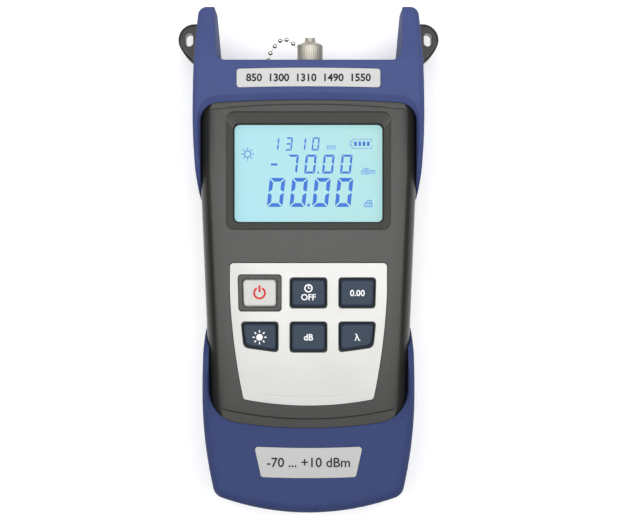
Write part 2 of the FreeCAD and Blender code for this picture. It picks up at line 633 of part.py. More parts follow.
def front_housing(form, cavity):
    """The front half: a shell with the display's frame, bosses, posts and the power key's collar."""
    half = common("front_half", form, box("front_space", ("-total_length", "total_length"),
                                          ("-total_length", "total_length"),
                                          ("parting_height", "2 * guard_depth")))
    hollow = cut("front_hollow", half, cavity)
    frame = display_slab("display_frame", "pane_margin + fit_gap + frame_block_wall",
                         f"{GLASS_FRONT} - glass_thickness", f"{INNER_FRONT} + wall / 2", "bezel_corner")
    frame_hole = display_slab("display_frame_hole", "pane_margin + fit_gap",
                              f"{GLASS_FRONT} - glass_thickness - 1", PANE_FRONT, "pane_corner")
    pillars = []
    for number, (x, y) in enumerate(SCREW_SPOTS):
        pillars.append(rod(f"front_boss_{number}", "z", (x, y, "parting_height"), "boss_radius",
                           f"{INNER_FRONT} + wall / 2 - parting_height"))
    for number, (x, y) in enumerate(POST_SPOTS):
        pillars.append(rod(f"board_post_{number}", "z", (x, y, BOARD_FRONT), "board_post_radius",
                           f"{INNER_FRONT} + wall / 2 - {BOARD_FRONT}"))
    collar = key_slab("power_collar", -1, 0, "power_frame_gap + power_frame_wall", INNER_FRONT,
                      f"{FRONT} + power_frame_proud")
    sight = display_slab("display_sight", "0", PANE_FRONT + " - 1", FRONT, "pane_corner")
    recess = cut("plate_recess", plate_slab("plate_recess_form", "plate_gap", PLATE_FLOOR,
                                            f"{FRONT} + 1"), collar)
    slots = [key_slab(name + "_slot", column, row,
                      "power_frame_gap" if name == "power_key" else "key_slot_gap",
                      f"{INNER_FRONT} - 1", f"{FRONT} + 2") for name, column, row in KEYS]
    pilots = [rod(f"pilot_{number}", "z", (x, y, "parting_height - 1"), "screw_radius + screw_gap",
                  f"{HEAD_SEAT} + screw_length + 1 - parting_height + 1")
              for number, (x, y) in enumerate(SCREW_SPOTS)]
    pilots += [rod(f"board_pilot_{number}", "z", (x, y, f"{BOARD_FRONT} - 1"),
                   "board_screw_radius + screw_gap", "board_screw_length + 1")
               for number, (x, y) in enumerate(POST_SPOTS)]
    solid = fuse("front_solid", hollow, frame, collar, *pillars)
    bands = [face_band("face_band_upper", 1), face_band("face_band_lower", -1)]
    return cut("front_housing", solid, frame_hole, sight, bezel(), recess, *slots, *pilots, *bands,
               *port_holes("front_port"))


def lug(side):
    """A strap lug: a rounded ear with an upright slot, on one side of the housing."""
    name = f"lug_{'right' if side > 0 else 'left'}"
    body = new_body(name)
    top = ("lug_centre_x", "lug_centre_y + lug_radius")
    nose = ("lug_centre_x + lug_radius * cos(lug_nose_angle)",
            "lug_centre_y - lug_radius * sin(lug_nose_angle)")
    heel = ("lug_centre_x", "lug_centre_y - lug_reach")
    root = [("(horn_core_inner + horn_core_outer) / 2", "lug_centre_y - lug_reach"),
            ("(horn_core_inner + horn_core_outer) / 2", "lug_centre_y + lug_radius")]
    corners = [root[0], heel, nose, top, root[1]]
    arcs = {1: "lug_heel_radius", 2: "lug_radius"}
    if side < 0:
        corners = [(f"-({x})", y) for x, y in reversed(corners)]
        arcs = {1: "lug_radius", 2: "lug_heel_radius"}
    solid = pad(body, sketch(body, "XY", corners, arcs, lift="lug_base"), "lug_thickness")
    edge_x = value("horn_core_outer")
    levels = (value("lug_base"), value("lug_base + lug_thickness"))

    def rims(points):
        flat = any(all(abs(p.z - level) < 1e-4 for p in points) for level in levels)
        return flat and abs(points[1].x) > edge_x + 2 and max(abs(p.x) for p in points) > edge_x + 5.5
    fillet(body, solid, rims, "lug_rim")
    return body


def lug_hole(side):
    """The slot through a lug: two round ends joined by a straight part."""
    name = f"lug_hole_{'right' if side > 0 else 'left'}"
    x, half = f"{side} * lug_hole_x", "lug_hole_width / 2"
    reach = f"(lug_hole_length / 2 - {half})"
    ends = [rod(f"{name}_{end}", "z", (x, f"lug_centre_y + {sign} * {reach}", "lug_base - 1"), half,
                "lug_thickness + 2") for end, sign in (("upper", 1), ("lower", -1))]
    middle = box(name + "_middle", (f"{x} - {half}", f"{x} + {half}"),
                 (f"lug_centre_y - {reach}", f"lug_centre_y + {reach}"),
                 ("lug_base - 1", "lug_base + lug_thickness + 1"))
    return ends + [middle]


def horn_core(side, grow="0"):
    """The stiff tongue inside a horn; grown by the seat gap, it is the pocket for it."""
    name = f"core_{'right' if side > 0 else 'left'}_{'pocket' if grow != '0' else 'solid'}"
    near, far = f"horn_core_inner - {grow}", f"horn_core_outer + {grow}"
    across = (near, far) if side > 0 else (f"-({far})", f"-({near})")
    return box(name, across, (f"{HOUSING_TOP} + seat_gap - {grow}",
                              f"{TIP_Y} - horn_core_tip + {grow}"),
               (f"horn_core_base - {grow}", f"horn_core_top + {grow}"))


def core_root(side, grow="0"):
    """The rib that carries a horn's core down into the rear housing, or the pocket for it."""
    name = f"root_{'right' if side > 0 else 'left'}_{'pocket' if grow != '0' else 'solid'}"
    near, far = f"horn_core_inner - {grow}", f"horn_core_outer + {grow}"
    across = (near, far) if side > 0 else (f"-({far})", f"-({near})")
    return box(name, across, ("horn_core_root", f"{HOUSING_TOP} + 2 * seat_gap"),
               (f"horn_core_base - {grow}", f"parting_height + {grow}"))


def rear_housing(form, cavity):
    """The rear half: a shell with the battery bay, bosses, strap lugs and the horns' cores."""
    half = common("rear_half", form, box("rear_space", ("-total_length", "total_length"),
                                         ("-total_length", "total_length"),
                                         ("-guard_depth", "parting_height")))
    hollow = cut("rear_hollow", half, cavity)
    bay = box("bay_outside", (f"-{BAY_HALF} - bay_wall", f"{BAY_HALF} + bay_wall"),
              (f"{BAY_FOOT} - bay_wall", "bay_top + bay_wall"),
              (f"{INNER_BACK} - wall / 2", f"{BAY_CEILING} + bay_wall"))
    bay_space = box("bay_inside", (f"-{BAY_HALF}", BAY_HALF), (BAY_FOOT, "bay_top"),
                    ("-guard_depth", BAY_CEILING))
    seat = slab("cover_recess", rectangle(f"{BAY_HALF} + cover_margin", f"{BAY_FOOT} - cover_margin",
                                          "bay_top + cover_margin"), None, "0",
                "back_step + cover_thickness",
                [(rectangle(f"{BAY_HALF} + cover_margin", f"{BAY_FOOT} - cover_margin",
                            "bay_top + cover_margin"), "cover_margin")])
    adding, taking = [hollow, bay], [bay_space, seat]
    for number, (x, y) in enumerate(SCREW_SPOTS):
        adding.append(rod(f"rear_boss_{number}", "z", (x, y, f"{INNER_BACK} - wall / 2"),
                          "boss_radius", f"parting_height - {INNER_BACK} + wall / 2"))
        taking.append(rod(f"screw_sink_{number}", "z", (x, y, "0"), "screw_head_radius + fit_gap",
                          HEAD_SEAT))
        taking.append(rod(f"screw_way_{number}", "z", (x, y, "0"), "screw_radius + screw_gap",
                          "2 * parting_height"))
    for side in (1, -1):
        adding += [horn_core(side), core_root(side), lug(side)]
        taking += lug_hole(side)
    return cut("rear_housing", fuse("rear_solid", *adding), *taking, *port_holes("rear_port"))


# ---------------------------------------------------------------- rubber guards


def top_guard(socket):
    """The upper guard: a slab with two horns, hollowed to slip over the housing and its lugs."""
    tools = [socket, tongue_cut("top_tongue", "1", "tongue_tip"), window("top_window", "1")]
    for side in (1, -1):
        tools += [horn_core(side, "seat_gap"), core_root(side, "seat_gap")]
        across = ("horn_core_outer - wall", "guard_half_width + wall")
        if side < 0:
            across = tuple(f"-({x})" for x in reversed(across))
        tools.append(box(f"lug_way_{'right' if side > 0 else 'left'}", across,
                         ("lug_centre_y - lug_reach - seat_gap",
                          "lug_centre_y + lug_radius + seat_gap"),
                         ("lug_base - seat_gap", "lug_base + lug_thickness + seat_gap")))
    tools.append(box("guard_port", ("port_offset - guard_port_reach", "port_offset + guard_port_half"),
                     (f"{HOUSING_TOP} - wall", f"{SLOT_Y} + wall"),
                     ("port_height - guard_port_height / 2", "port_height + guard_port_height / 2")))
    tools.append(top_label_slab("top_label_recess", "label_gap", "guard_depth - label_recess",
                                "guard_depth + 1"))
    return carve("top_guard", top_guard_form(), *tools)


def bottom_guard(socket):
    """The lower guard: a cup that holds the foot of the housing."""
    recess = foot_label_slab("foot_label_recess", "label_gap", "guard_depth - label_recess",
                             "guard_depth + 1")
    return carve("bottom_guard", bottom_guard_form(), socket,
                 tongue_cut("foot_tongue", "-1", "foot_tongue_tip"), window("foot_window", "-1"),
                 recess)


# ---------------------------------------------------------------- display


def display():
    """The display's stack, from the clear pane down to the board."""
    grow = "pane_margin"
    side = f"window_width / 2 + {grow}"
    low, high = (f"display_centre - window_height / 2 - {grow}",
                 f"display_centre + window_height / 2 + {grow}")
    pane = display_slab("lcd_window", grow, f"{PANE_FRONT} - pane_thickness", PANE_FRONT, "pane_corner")
    gasket = cut("lcd_gasket", display_slab("gasket_outside", grow, GLASS_FRONT,
                                            f"{PANE_FRONT} - pane_thickness", "pane_corner"),
                 display_slab("gasket_inside", "0 - pane_margin / 4", f"{GLASS_FRONT} - 1",
                              f"{PANE_FRONT} + 1", "pane_corner"))
    glass = display_slab("lcd_panel", grow, f"{GLASS_FRONT} - glass_thickness", GLASS_FRONT,
                         "pane_corner")
    under = (BOARD_FRONT, f"{GLASS_FRONT} - glass_thickness")
    light = box("lcd_backlight", (f"-({side})", side),
                (f"{low} + strip_width + fit_gap", f"{high} - strip_width - fit_gap"), under)
    strips = group("zebra_strips",
                   box("upper_strip", (f"-({side})", side), (f"{high} - strip_width", high), under),
                   box("lower_strip", (f"-({side})", side), (low, f"{low} + strip_width"), under))
    return [pane, gasket, glass, light, strips]


# ---------------------------------------------------------------- keypad


def keypad_plate():
    """The metal plate on the face, pierced for the keys and the raised frame of the power key."""
    blank = plate_slab("plate_blank", "0", PLATE_FLOOR, f"{FRONT} + plate_proud")
    holes = []
    for name, column, row in KEYS:
        frame = "power_frame_gap + power_frame_wall + plate_gap"
        holes.append(key_slab(name + "_window", column, row,
                              frame if name == "power_key" else "key_gap",
                              f"{PLATE_FLOOR} - 1", f"{FRONT} + 2"))
    return cut("keypad_plate", blank, *holes)


def key(name, column, row):
    """A rubber key: a cap, a flange that stops it under the housing's face and a contact pill."""
    body = key_slab(name, column, row, "0", f"{INNER_FRONT} - flange_thickness", f"{FRONT} + key_proud")
    fillet(body, body.Tip, flat_at(f"{FRONT} + key_proud"), "key_edge")
    flange = sketch(body, "XY", key_corners(column, row, "key_flange"),
                    lift=f"{INNER_FRONT} - flange_thickness")
    pad(body, flange, "flange_thickness")
    pill = body.newObject("Sketcher::SketchObject", name + "_pill")
    pill.AttachmentSupport = [(origin_plane(body, "XY_Plane"), "")]
    pill.MapMode = "FlatFace"
    pill.setExpression("AttachmentOffset.Base.z", linked(f"{BOARD_FRONT} + key_travel + travel_gap"))
    x, y = f"{column} * key_pitch_x", f"-key_row - {row} * key_pitch_y"
    centre = FreeCAD.Vector(value(x), value(y), 0)
    pill.addGeometry(Part.Circle(centre, FreeCAD.Vector(0, 0, 1), value("pill_radius")))
    pill.addConstraint(Sketcher.Constraint("Radius", 0, value("pill_radius")))
    pill.setExpression("Constraints[0]", linked("pill_radius"))
    if column:
        pill.addConstraint(Sketcher.Constraint("DistanceX", -1, 1, 0, 3, centre.x))
        pill.setExpression("Constraints[1]", linked(x))
    else:
        pill.addConstraint(Sketcher.Constraint("PointOnObject", 0, 3, -2))
    at = pill.addConstraint(Sketcher.Constraint("DistanceY", -1, 1, 0, 3, centre.y))
    pill.setExpression(f"Constraints[{at}]", linked(y))
    pad(body, pill, f"{INNER_FRONT} - flange_thickness - {BOARD_FRONT} - key_travel - travel_gap")
    return body


def keypad_mat():
    """The silicone mat on the board, with a collar round the pill of each key."""
    top = f"({INNER_FRONT} - flange_thickness - key_travel - travel_gap)"
    sheet_top = f"({BOARD_FRONT} + mat_thickness)"
    sheet_low = "(-key_row - key_pitch_y - key_height / 2 - mat_margin)"
    reach = "(key_pitch_x + key_width / 2 + mat_margin - bay_wall)"
    adding = [box("mat_sheet", (f"-{reach}", reach),
                  (sheet_low, "-key_row + key_height / 2 + mat_margin"), (BOARD_FRONT, sheet_top))]
    taking = []
    for name, column, row in KEYS:
        x, y = f"({column} * key_pitch_x)", f"(-key_row - {row} * key_pitch_y)"
        half_x, half_y = "(key_width / 2 - key_slant_lower)", "(key_height / 2)"
        adding.append(box(name + "_collar", (f"{x} - {half_x}", f"{x} + {half_x}"),
                          (f"{y} - {half_y}", f"{y} + {half_y}"), (BOARD_FRONT, top)))
        taking.append(box(name + "_well",
                          (f"{x} - {half_x} + collar_wall", f"{x} + {half_x} - collar_wall"),
                          (f"{y} - {half_y} + collar_wall", f"{y} + {half_y} - collar_wall"),
                          (f"{BOARD_FRONT} - 1", f"{top} + 1")))
    return cut("keypad_mat", fuse("mat_solid", *adding), *taking)


# ---------------------------------------------------------------- board


def board():
    """The board, what is soldered on its back, and the screws that hold it to the posts."""
    corners = rectangle("board_half_width", "-board_foot", "board_top")
    blank = slab("board_blank", corners, None, BOARD_BACK, BOARD_FRONT, [(corners, "board_corner")])
    holes, screws = [], []
    for number, (x, y) in enumerate(POST_SPOTS):
        holes.append(rod(f"board_hole_{number}", "z", (x, y, f"{BOARD_BACK} - 1"),
                         "board_screw_radius + screw_gap", "board_thickness + 2"))
        head = rod(f"board_screw_head_{number}", "z", (x, y, f"{BOARD_BACK} - board_screw_head_height"),
                   "board_screw_head", "board_screw_head_height")
        shank = rod(f"board_screw_shank_{number}", "z", (x, y, BOARD_BACK), "board_screw_radius",
                    "board_screw_length")
        screws.append(fuse(f"board_screw_{number}", head, shank))
    chip = box("processor_chip", ("-chip_side / 2", "chip_side / 2"),
               ("display_centre - chip_side / 2", "display_centre + chip_side / 2"),
               (f"{BOARD_BACK} - chip_thickness", BOARD_BACK))
    amplifier = box("amplifier_chip", ("-chip_side / 3", "chip_side / 3"),
                    ("display_centre + chip_pitch - chip_side / 4",
                     "display_centre + chip_pitch + chip_side / 4"),
                    (f"{BOARD_BACK} - chip_thickness", BOARD_BACK))
    buzzer = rod("buzzer", "z", ("chip_pitch", "display_centre", f"{BOARD_BACK} - buzzer_height"),
                 "buzzer_radius", "buzzer_height")
    return [cut("main_board", blank, *holes), group("board_screws", *screws), chip, amplifier, buzzer]


# ---------------------------------------------------------------- optical port

PORT_FACE = f"({HOUSING_TOP} + port_flange_thickness)"
BORE = "(ferrule_bore + sleeve_wall + screw_gap)"
CAP_START = f"({PORT_FACE} + cap_stand_off)"


def optical_port():
    """A square flange with a nose for the cap, a key slot and a barrel for the photodiode."""
    half = "port_flange_side / 2"
    flange = box("port_flange", (f"port_offset - {half}", f"port_offset + {half}"),
                 (HOUSING_TOP, PORT_FACE), (f"port_height - {half}", f"port_height + {half}"))
    nose = rod("port_nose", "y", ("port_offset", HOUSING_TOP, "port_height"), "port_nose_radius",
               "port_flange_thickness + port_nose_length")
    barrel_end = f"{HOUSING_TOP} - port_barrel_length"
    barrel = rod("port_barrel", "y", ("port_offset", barrel_end, "port_height"),
                 "port_barrel_radius", "port_barrel_length")
    bore = rod("port_bore", "y", ("port_offset", f"{barrel_end} - 1", "port_height"), BORE,
               "port_nose_length + 3 * port_barrel_length")
    slot = box("port_key_slot",
               ("port_offset - port_slot_width / 2", "port_offset + port_slot_width / 2"),
               (f"{PORT_FACE} + port_nose_length / 2", f"{PORT_FACE} + port_nose_length + 1"),
               (f"port_height + {BORE}", "port_height + port_nose_radius + 1"))
    holes, screws = [bore, slot], []
    for number, (x, z) in enumerate(PORT_SCREW_SPOTS):
        holes.append(rod(f"port_hole_{number}", "y", (x, f"{HOUSING_TOP} - 1", z),
                         "port_screw_radius + screw_gap", "port_flange_thickness + 2"))
        head = rod(f"port_screw_head_{number}", "y", (x, PORT_FACE, z), "port_screw_head",
                   "port_screw_head_height")
        shank = rod(f"port_screw_shank_{number}", "y", (x, f"{PORT_FACE} - port_screw_length", z),
                    "port_screw_radius", "port_screw_length")
        screws.append(fuse(f"port_screw_{number}", head, shank))
    start = f"{PORT_FACE} + port_nose_length - sleeve_length - cap_stand_off"
    tube = rod("sleeve_tube", "y", ("port_offset", start, "port_height"),
               "ferrule_bore + sleeve_wall", "sleeve_length")
    inside = rod("sleeve_inside", "y", ("port_offset", HOUSING_TOP + " - 1", "port_height"),
                 "ferrule_bore", "2 * sleeve_length")
    split = box("sleeve_gap", ("port_offset - sleeve_split / 2", "port_offset + sleeve_split / 2"),
                (HOUSING_TOP + " - 1", f"{HOUSING_TOP} + 2 * sleeve_length"),
                ("port_height - 2 * ferrule_bore", "port_height"))
    sleeve = cut("ferrule_sleeve", tube, inside, split)
    port = cut("optical_port", fuse("port_solid", flange, nose, barrel), *holes)
    return [port, group("port_screws", *screws), sleeve, photodiode()]


def photodiode():
    """A metal can with a clear face, held against the port's barrel, with three leads."""
    back = f"({HOUSING_TOP} - port_barrel_length - diode_length)"
    can = rod("diode_can", "y", ("port_offset", back, "port_height"), "diode_radius", "diode_length")
    base = rod("diode_base", "y", ("port_offset", back, "port_height"), "diode_base_radius",
               "diode_length / 6")
    leads = [rod(f"diode_lead_{number}", "y",
                 (f"port_offset + {offset} * diode_radius / 2", f"{back} - diode_length",
                  "port_height"), "diode_lead_radius", "1.5 * diode_length")
             for number, offset in enumerate((-1, 0, 1))]
    return fuse("photodiode", can, base, *leads)


def dust_cap():
    """The fluted screw cap: turned about the port's axis, then fluted by a pattern."""
    body = new_body("dust_cap")
    nose_end = f"({PORT_FACE} + port_nose_length + cap_stand_off)"
    bore = "port_nose_radius + cap_thread_gap"
    shoulder = f"({CAP_START} + cap_length)"
    profile = sketch(body, "XY", [
        (bore, CAP_START), ("cap_radius", CAP_START), ("cap_radius", shoulder),
        ("cap_neck_radius", f"{shoulder} + cap_cone"), ("0", f"{shoulder} + cap_cone"),
        ("0", nose_end), (bore, nose_end)])
    turned = body.newObject("PartDesign::Revolution", "cap_turned")
    turned.Profile = profile
    turned.ReferenceAxis = (origin_plane(body, "Y_Axis"), [""])
    turned.Angle = 360
    doc.recompute()
    groove = body.newObject("Sketcher::SketchObject", "cap_groove")
    groove.AttachmentSupport = [(origin_plane(body, "XZ_Plane"), "")]
    groove.MapMode = "FlatFace"
    reach = "cap_radius + flute_radius - flute_depth"
    groove.addGeometry(Part.Circle(FreeCAD.Vector(value(reach), 0, 0), FreeCAD.Vector(0, 0, 1),
                                   value("flute_radius")))
    groove.addConstraint(Sketcher.Constraint("Radius", 0, value("flute_radius")))
    groove.addConstraint(Sketcher.Constraint("PointOnObject", 0, 3, -1))
    groove.addConstraint(Sketcher.Constraint("DistanceX", -1, 1, 0, 3, value(reach)))
    groove.setExpression("Constraints[0]", linked("flute_radius"))
    groove.setExpression("Constraints[2]", linked(reach))
    flute = pocket(body, groove, "4 * total_length", SideType="Symmetric")
    pattern = body.newObject("PartDesign::PolarPattern", "cap_flutes")
    pattern.Originals = [flute]
    pattern.Axis = (origin_plane(body, "Y_Axis"), [""])
    pattern.Angle = 360
    bind(pattern, Occurrences="flute_count")
    body.Tip = pattern
    doc.recompute()
    place(body, "port_offset", "0", "port_height")
    rivet = rod("cap_rivet", "y", ("port_offset", f"{shoulder} + cap_cone", "port_height"),
                "rivet_radius", "rivet_height")
    return [body, rivet]


# Bead centres of the chain, from the anchor to the cap, as offsets from the anchor's head.
CHAIN_ROUTE = ((0.0, 1.2), (0.3, 3.85), (1.15, 6.5), (2.85, 9.2), (4.9, 11.35), (7.4, 11.7),
               (9.9, 10.2))


def tether_chain():
    """A ball chain: round beads joined by thin links, from the anchor to beside the cap."""
    foot = FreeCAD.Vector(-value("anchor_x"), value(f"{HOUSING_TOP} + anchor_height"),
                          value("port_height"))
    beads = [foot + FreeCAD.Vector(x, y, 0) for x, y in CHAIN_ROUTE]
    hook = FreeCAD.Vector(value("port_offset - cap_radius - chain_gap"),
                          value(f"{CAP_START} + cap_length"), value("port_height"))
    shape = Part.makeSphere(value("bead_radius"), beads[0])
    pieces = [Part.makeSphere(value("bead_radius"), bead) for bead in beads[1:]]
    for start, stop in zip([foot] + beads, beads + [hook]):
        link = stop - start
        pieces.append(Part.makeCylinder(value("link_radius"), link.Length, start, link))
    item = doc.addObject("Part::Feature", "tether_chain")
    item.Shape = shape.multiFuse(pieces)
    return item


def chain_anchor():
    """The headed pin in the end wall that the chain hangs from."""
    head = rod("anchor_head", "y", ("-anchor_x", HOUSING_TOP, "port_height"), "anchor_radius",
               "anchor_height")
    shank = rod("anchor_shank", "y", ("-anchor_x", f"{HOUSING_TOP} - anchor_shank", "port_height"),
                "anchor_shank_radius", "anchor_shank")
    return fuse("chain_anchor", head, shank)


# ---------------------------------------------------------------- batteries


def batteries():
    """Three cells side by side, turned about in turn, with a plate and a bowed spring each."""
    cells, plates, springs = [], [], []
    for number in range(3):
        x = f"({number - 1} * (2 * cell_radius + cell_gap))"
        up = number != 1
        plus = "(bay_top - contact_gap)" if up else f"({BAY_FOOT} + contact_gap)"
        sign = "1" if up else "-1"
        nub_end = f"({plus} - {sign} * contact_thickness)"
        can_end = f"({nub_end} - {sign} * cell_nub)"
        far_end = f"({can_end} - {sign} * cell_length)"
        minus = f"({BAY_FOOT} + contact_gap)" if up else "(bay_top - contact_gap)"
        face = f"({minus} + {sign} * contact_thickness)"
        low = far_end if up else can_end
        can = rod(f"cell_can_{number}", "y", (x, low, CELL_Z), "cell_radius", "cell_length")
        nub = rod(f"cell_nub_{number}", "y", (x, can_end if up else nub_end, CELL_Z), "cell_nub_radius",
                  "cell_nub")
        cells.append(fuse(f"battery_cell_{number + 1}", can, nub))
        across = (f"{x} - contact_width / 2", f"{x} + contact_width / 2")
        tall = (f"{CELL_Z} - contact_height / 2", f"{CELL_Z} + contact_height / 2")
        for pieces, end, inner in ((plates, plus, nub_end), (springs, minus, face)):
            low_first = (end, inner) if (up == (end == minus)) else (inner, end)
            pieces.append(box(f"contact_{number}_{len(pieces)}_{'plus' if end == plus else 'minus'}",
                              across, low_first, tall))
        springs[-1] = fuse(f"spring_{number}", springs[-1], bow(number, x, face, sign))
    return [*cells, group("battery_contacts", *plates), group("battery_springs", *springs)]


def bow(number, x, face, sign):
    """A strip bent to a shallow V that presses on the flat end of a cell."""
    body = new_body(f"bow_{number}")
    tip = f"({face} + {sign} * (spring_reach - contact_gap))"
    inner_tip = f"({face} + {sign} * (spring_reach - contact_gap - bow_thickness))"
    low, high = f"({CELL_Z} - spring_half_height)", f"({CELL_Z} + spring_half_height)"
    corners = [(face, low), (tip, CELL_Z), (face, high), (face, f"{high} - bow_foot"),
               (inner_tip, CELL_Z), (face, f"{low} + bow_foot")]
    if sign == "-1":
        corners = corners[::-1]
    pad(body, sketch(body, "YZ", corners), "contact_width / 2", SideType="Symmetric")
    return place(body, x)


def battery_cover():
    """The cover over the bay, with finger grooves outside."""
    margin = "(cover_margin - cover_gap)"
    corners = rectangle(f"{BAY_HALF} + {margin}", f"{BAY_FOOT} - {margin}", f"bay_top + {margin}")
    blank = slab("cover_blank", corners, None, "back_step", "back_step + cover_thickness",
                 [(corners, "cover_margin")])
    grooves = []
    for number in range(int(SIZES["cover_grip_count"])):
        y = f"(bay_top - cover_grip_pitch * {number + 1})"
        grooves.append(box(f"grip_{number}", ("-cover_grip_length / 2", "cover_grip_length / 2"),
                           (f"{y} - cover_grip_width", y), ("0", "back_step + cover_grip_depth")))
    return cut("battery_cover", blank, *grooves)


def housing_screws():
    """Four long screws that join the housing halves, their heads sunk in the back."""
    screws = []
    for number, (x, y) in enumerate(SCREW_SPOTS):
        head = rod(f"screw_head_{number}", "z", (x, y, f"{HEAD_SEAT} - screw_head_height"),
                   "screw_head_radius", "screw_head_height")
        shank = rod(f"screw_shank_{number}", "z", (x, y, HEAD_SEAT), "screw_radius", "screw_length")
        screws.append(fuse(f"housing_screw_{number}", head, shank))
    return group("housing_screws", *screws)


# ---------------------------------------------------------------- assembly


def build():
    form = housing_form("housing_form", "0", "back_step", FRONT)
    cavity = housing_form("housing_cavity", "wall", INNER_BACK, INNER_FRONT)
    socket = housing_form("guard_socket", "-seat_gap", "back_step - seat_gap", f"{FRONT} + seat_gap")
    top_label = top_label_slab("top_nameplate", "0", "guard_depth - label_recess",
                               "guard_depth - label_recess + label_thickness")
    foot_label = foot_label_slab("bottom_nameplate", "0", "guard_depth - label_recess",
                                 "guard_depth - label_recess + label_thickness")
    nodes = [front_housing(form, cavity), rear_housing(form, cavity), top_guard(socket),
             bottom_guard(socket), top_label, foot_label, *display(), keypad_plate(), keypad_mat(),
             *(key(*spec) for spec in KEYS), *board(), *optical_port(), *dust_cap(), tether_chain(),
             chain_anchor(), *batteries(), battery_cover(), housing_screws()]
    doc.recompute()
    return nodes


def write(nodes):
    """Check every object and every node's shape, then write one STEP file for each node."""
    broken = [item.Name for item in doc.Objects if {"Invalid", "Error"} & set(item.State)]
    if broken:
        raise RuntimeError("failed objects: " + ", ".join(broken))
    os.makedirs("parts", exist_ok=True)
    for node in nodes:
        if node.Shape.isNull() or not node.Shape.isValid() or not node.Shape.Solids:
            raise RuntimeError(node.Name + " has no valid solid")
        node.Label = node.Name
        node.Shape.exportStep(f"parts/{node.Name}.step")
        print(f"{node.Name}: {len(node.Shape.Solids)} solid(s), {node.Shape.Volume:.1f} mm3")


write(build())
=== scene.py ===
# %% [markdown]
# # An optical power meter, dressed for its picture
#
# A handheld meter for fibre optics lies on its back: a grey moulded housing held between two
# rubber guards, a lit display, six keys, and a capped optical port with its ball chain.  The
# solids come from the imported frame; this script gives every one of them a finish and adds the
# pieces that are too fine for the solids, such as the signs on the keys.

# %% Load the frame
import math
import bmesh
import bpy
import numpy as np
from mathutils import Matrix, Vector


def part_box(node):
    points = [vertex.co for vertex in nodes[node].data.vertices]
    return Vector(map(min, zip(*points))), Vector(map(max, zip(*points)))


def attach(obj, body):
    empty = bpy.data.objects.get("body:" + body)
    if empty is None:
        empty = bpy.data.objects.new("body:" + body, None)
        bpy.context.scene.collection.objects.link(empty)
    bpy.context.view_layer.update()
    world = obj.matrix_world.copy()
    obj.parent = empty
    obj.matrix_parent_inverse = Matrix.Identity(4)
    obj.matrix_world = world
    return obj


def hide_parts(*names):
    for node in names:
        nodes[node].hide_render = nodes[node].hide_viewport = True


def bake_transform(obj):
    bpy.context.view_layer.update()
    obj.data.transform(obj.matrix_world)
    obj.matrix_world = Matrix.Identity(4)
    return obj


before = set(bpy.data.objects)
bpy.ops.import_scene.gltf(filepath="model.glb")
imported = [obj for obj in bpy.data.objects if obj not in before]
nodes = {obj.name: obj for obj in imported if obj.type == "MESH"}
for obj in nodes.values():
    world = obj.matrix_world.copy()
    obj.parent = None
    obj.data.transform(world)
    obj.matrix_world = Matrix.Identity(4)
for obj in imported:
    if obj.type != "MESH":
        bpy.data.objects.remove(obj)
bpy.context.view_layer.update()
MM = 0.001

# %% [markdown]
# ## Reading places off the solids
#
# A place could be typed in, but then it would drift when the solids change.  These helpers read
# it from a node's box instead, in millimetres, which are easier to think in at this size.


# %% Places in millimetres
def low(node):
    """The lowest corner of a node's box."""
    return np.array(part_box(node)[0]) / MM


def high(node):
    """The highest corner of a node's box."""
    return np.array(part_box(node)[1]) / MM


def middle(node):
    """The mean of a node's two corners."""
    return (low(node) + high(node)) / 2


# %% [markdown]
# The display and the keypad plate are the two places that most of the dressing hangs on, so they
# are measured once, here.

# %% Display and keypad plate
GLASS = high("lcd_panel")[2]
SCREEN = middle("lcd_window")
PLATE_PROUD = 0.2  # how far the keypad plate stands above the housing's face
FACE = high("keypad_plate")[2] - PLATE_PROUD
RIM_HIDDEN = 1.5  # how far the pane's edge reaches under the housing's lip
OPENING = (high("lcd_window") - low("lcd_window"))[:2] / 2 - RIM_HIDDEN  # half its width and height
PLATE_FOOT = low("keypad_plate")[1]
print("display centre", SCREEN.round(2), "glass at", GLASS.round(2))
print("opening", (2 * OPENING).round(1), "housing's face at", FACE.round(2))

# %% [markdown]
# ## A small language for materials
#
# A finish is a graph of nodes.  Wiring each node by hand is long, so one class wraps a socket and
# lets Python's own operators add the Math nodes, and one method adds any other node from its
# type, its settings and its inputs.  The graphs below then read like formulas.


# %% Values
class Value:
    """One output socket; arithmetic on it adds Math nodes to the same material."""

    def __init__(self, paint, socket):
        self.paint, self.socket = paint, socket

    def math(self, operation, first, second=None):
        """One Math node that works on one or two values or numbers."""
        return self.paint.add("ShaderNodeMath", {"operation": operation}, {0: first, 1: second})

    def __add__(self, other):
        return self.math("ADD", self, other)

    def __sub__(self, other):
        return self.math("SUBTRACT", self, other)

    def __rsub__(self, other):
        return self.math("SUBTRACT", other, self)

    def __mul__(self, other):
        return self.math("MULTIPLY", self, other)

    def __pow__(self, other):
        return self.math("POWER", self, other)

    def __abs__(self):
        return self.math("ABSOLUTE", self)

    __radd__, __rmul__ = __add__, __mul__

    def ramp(self, start, stop):
        """0 below start, 1 above stop and smooth between them."""
        return self.paint.add("ShaderNodeMapRange", {"interpolation_type": "SMOOTHSTEP"},
                              {0: self, 1: start, 2: stop})


# %% [markdown]
# ### Paints
#
# A paint is one material: its Principled shader, and methods for the few things that every finish
# needs, which are noise of a known size, a coordinate, a mix of two colours and a bump.


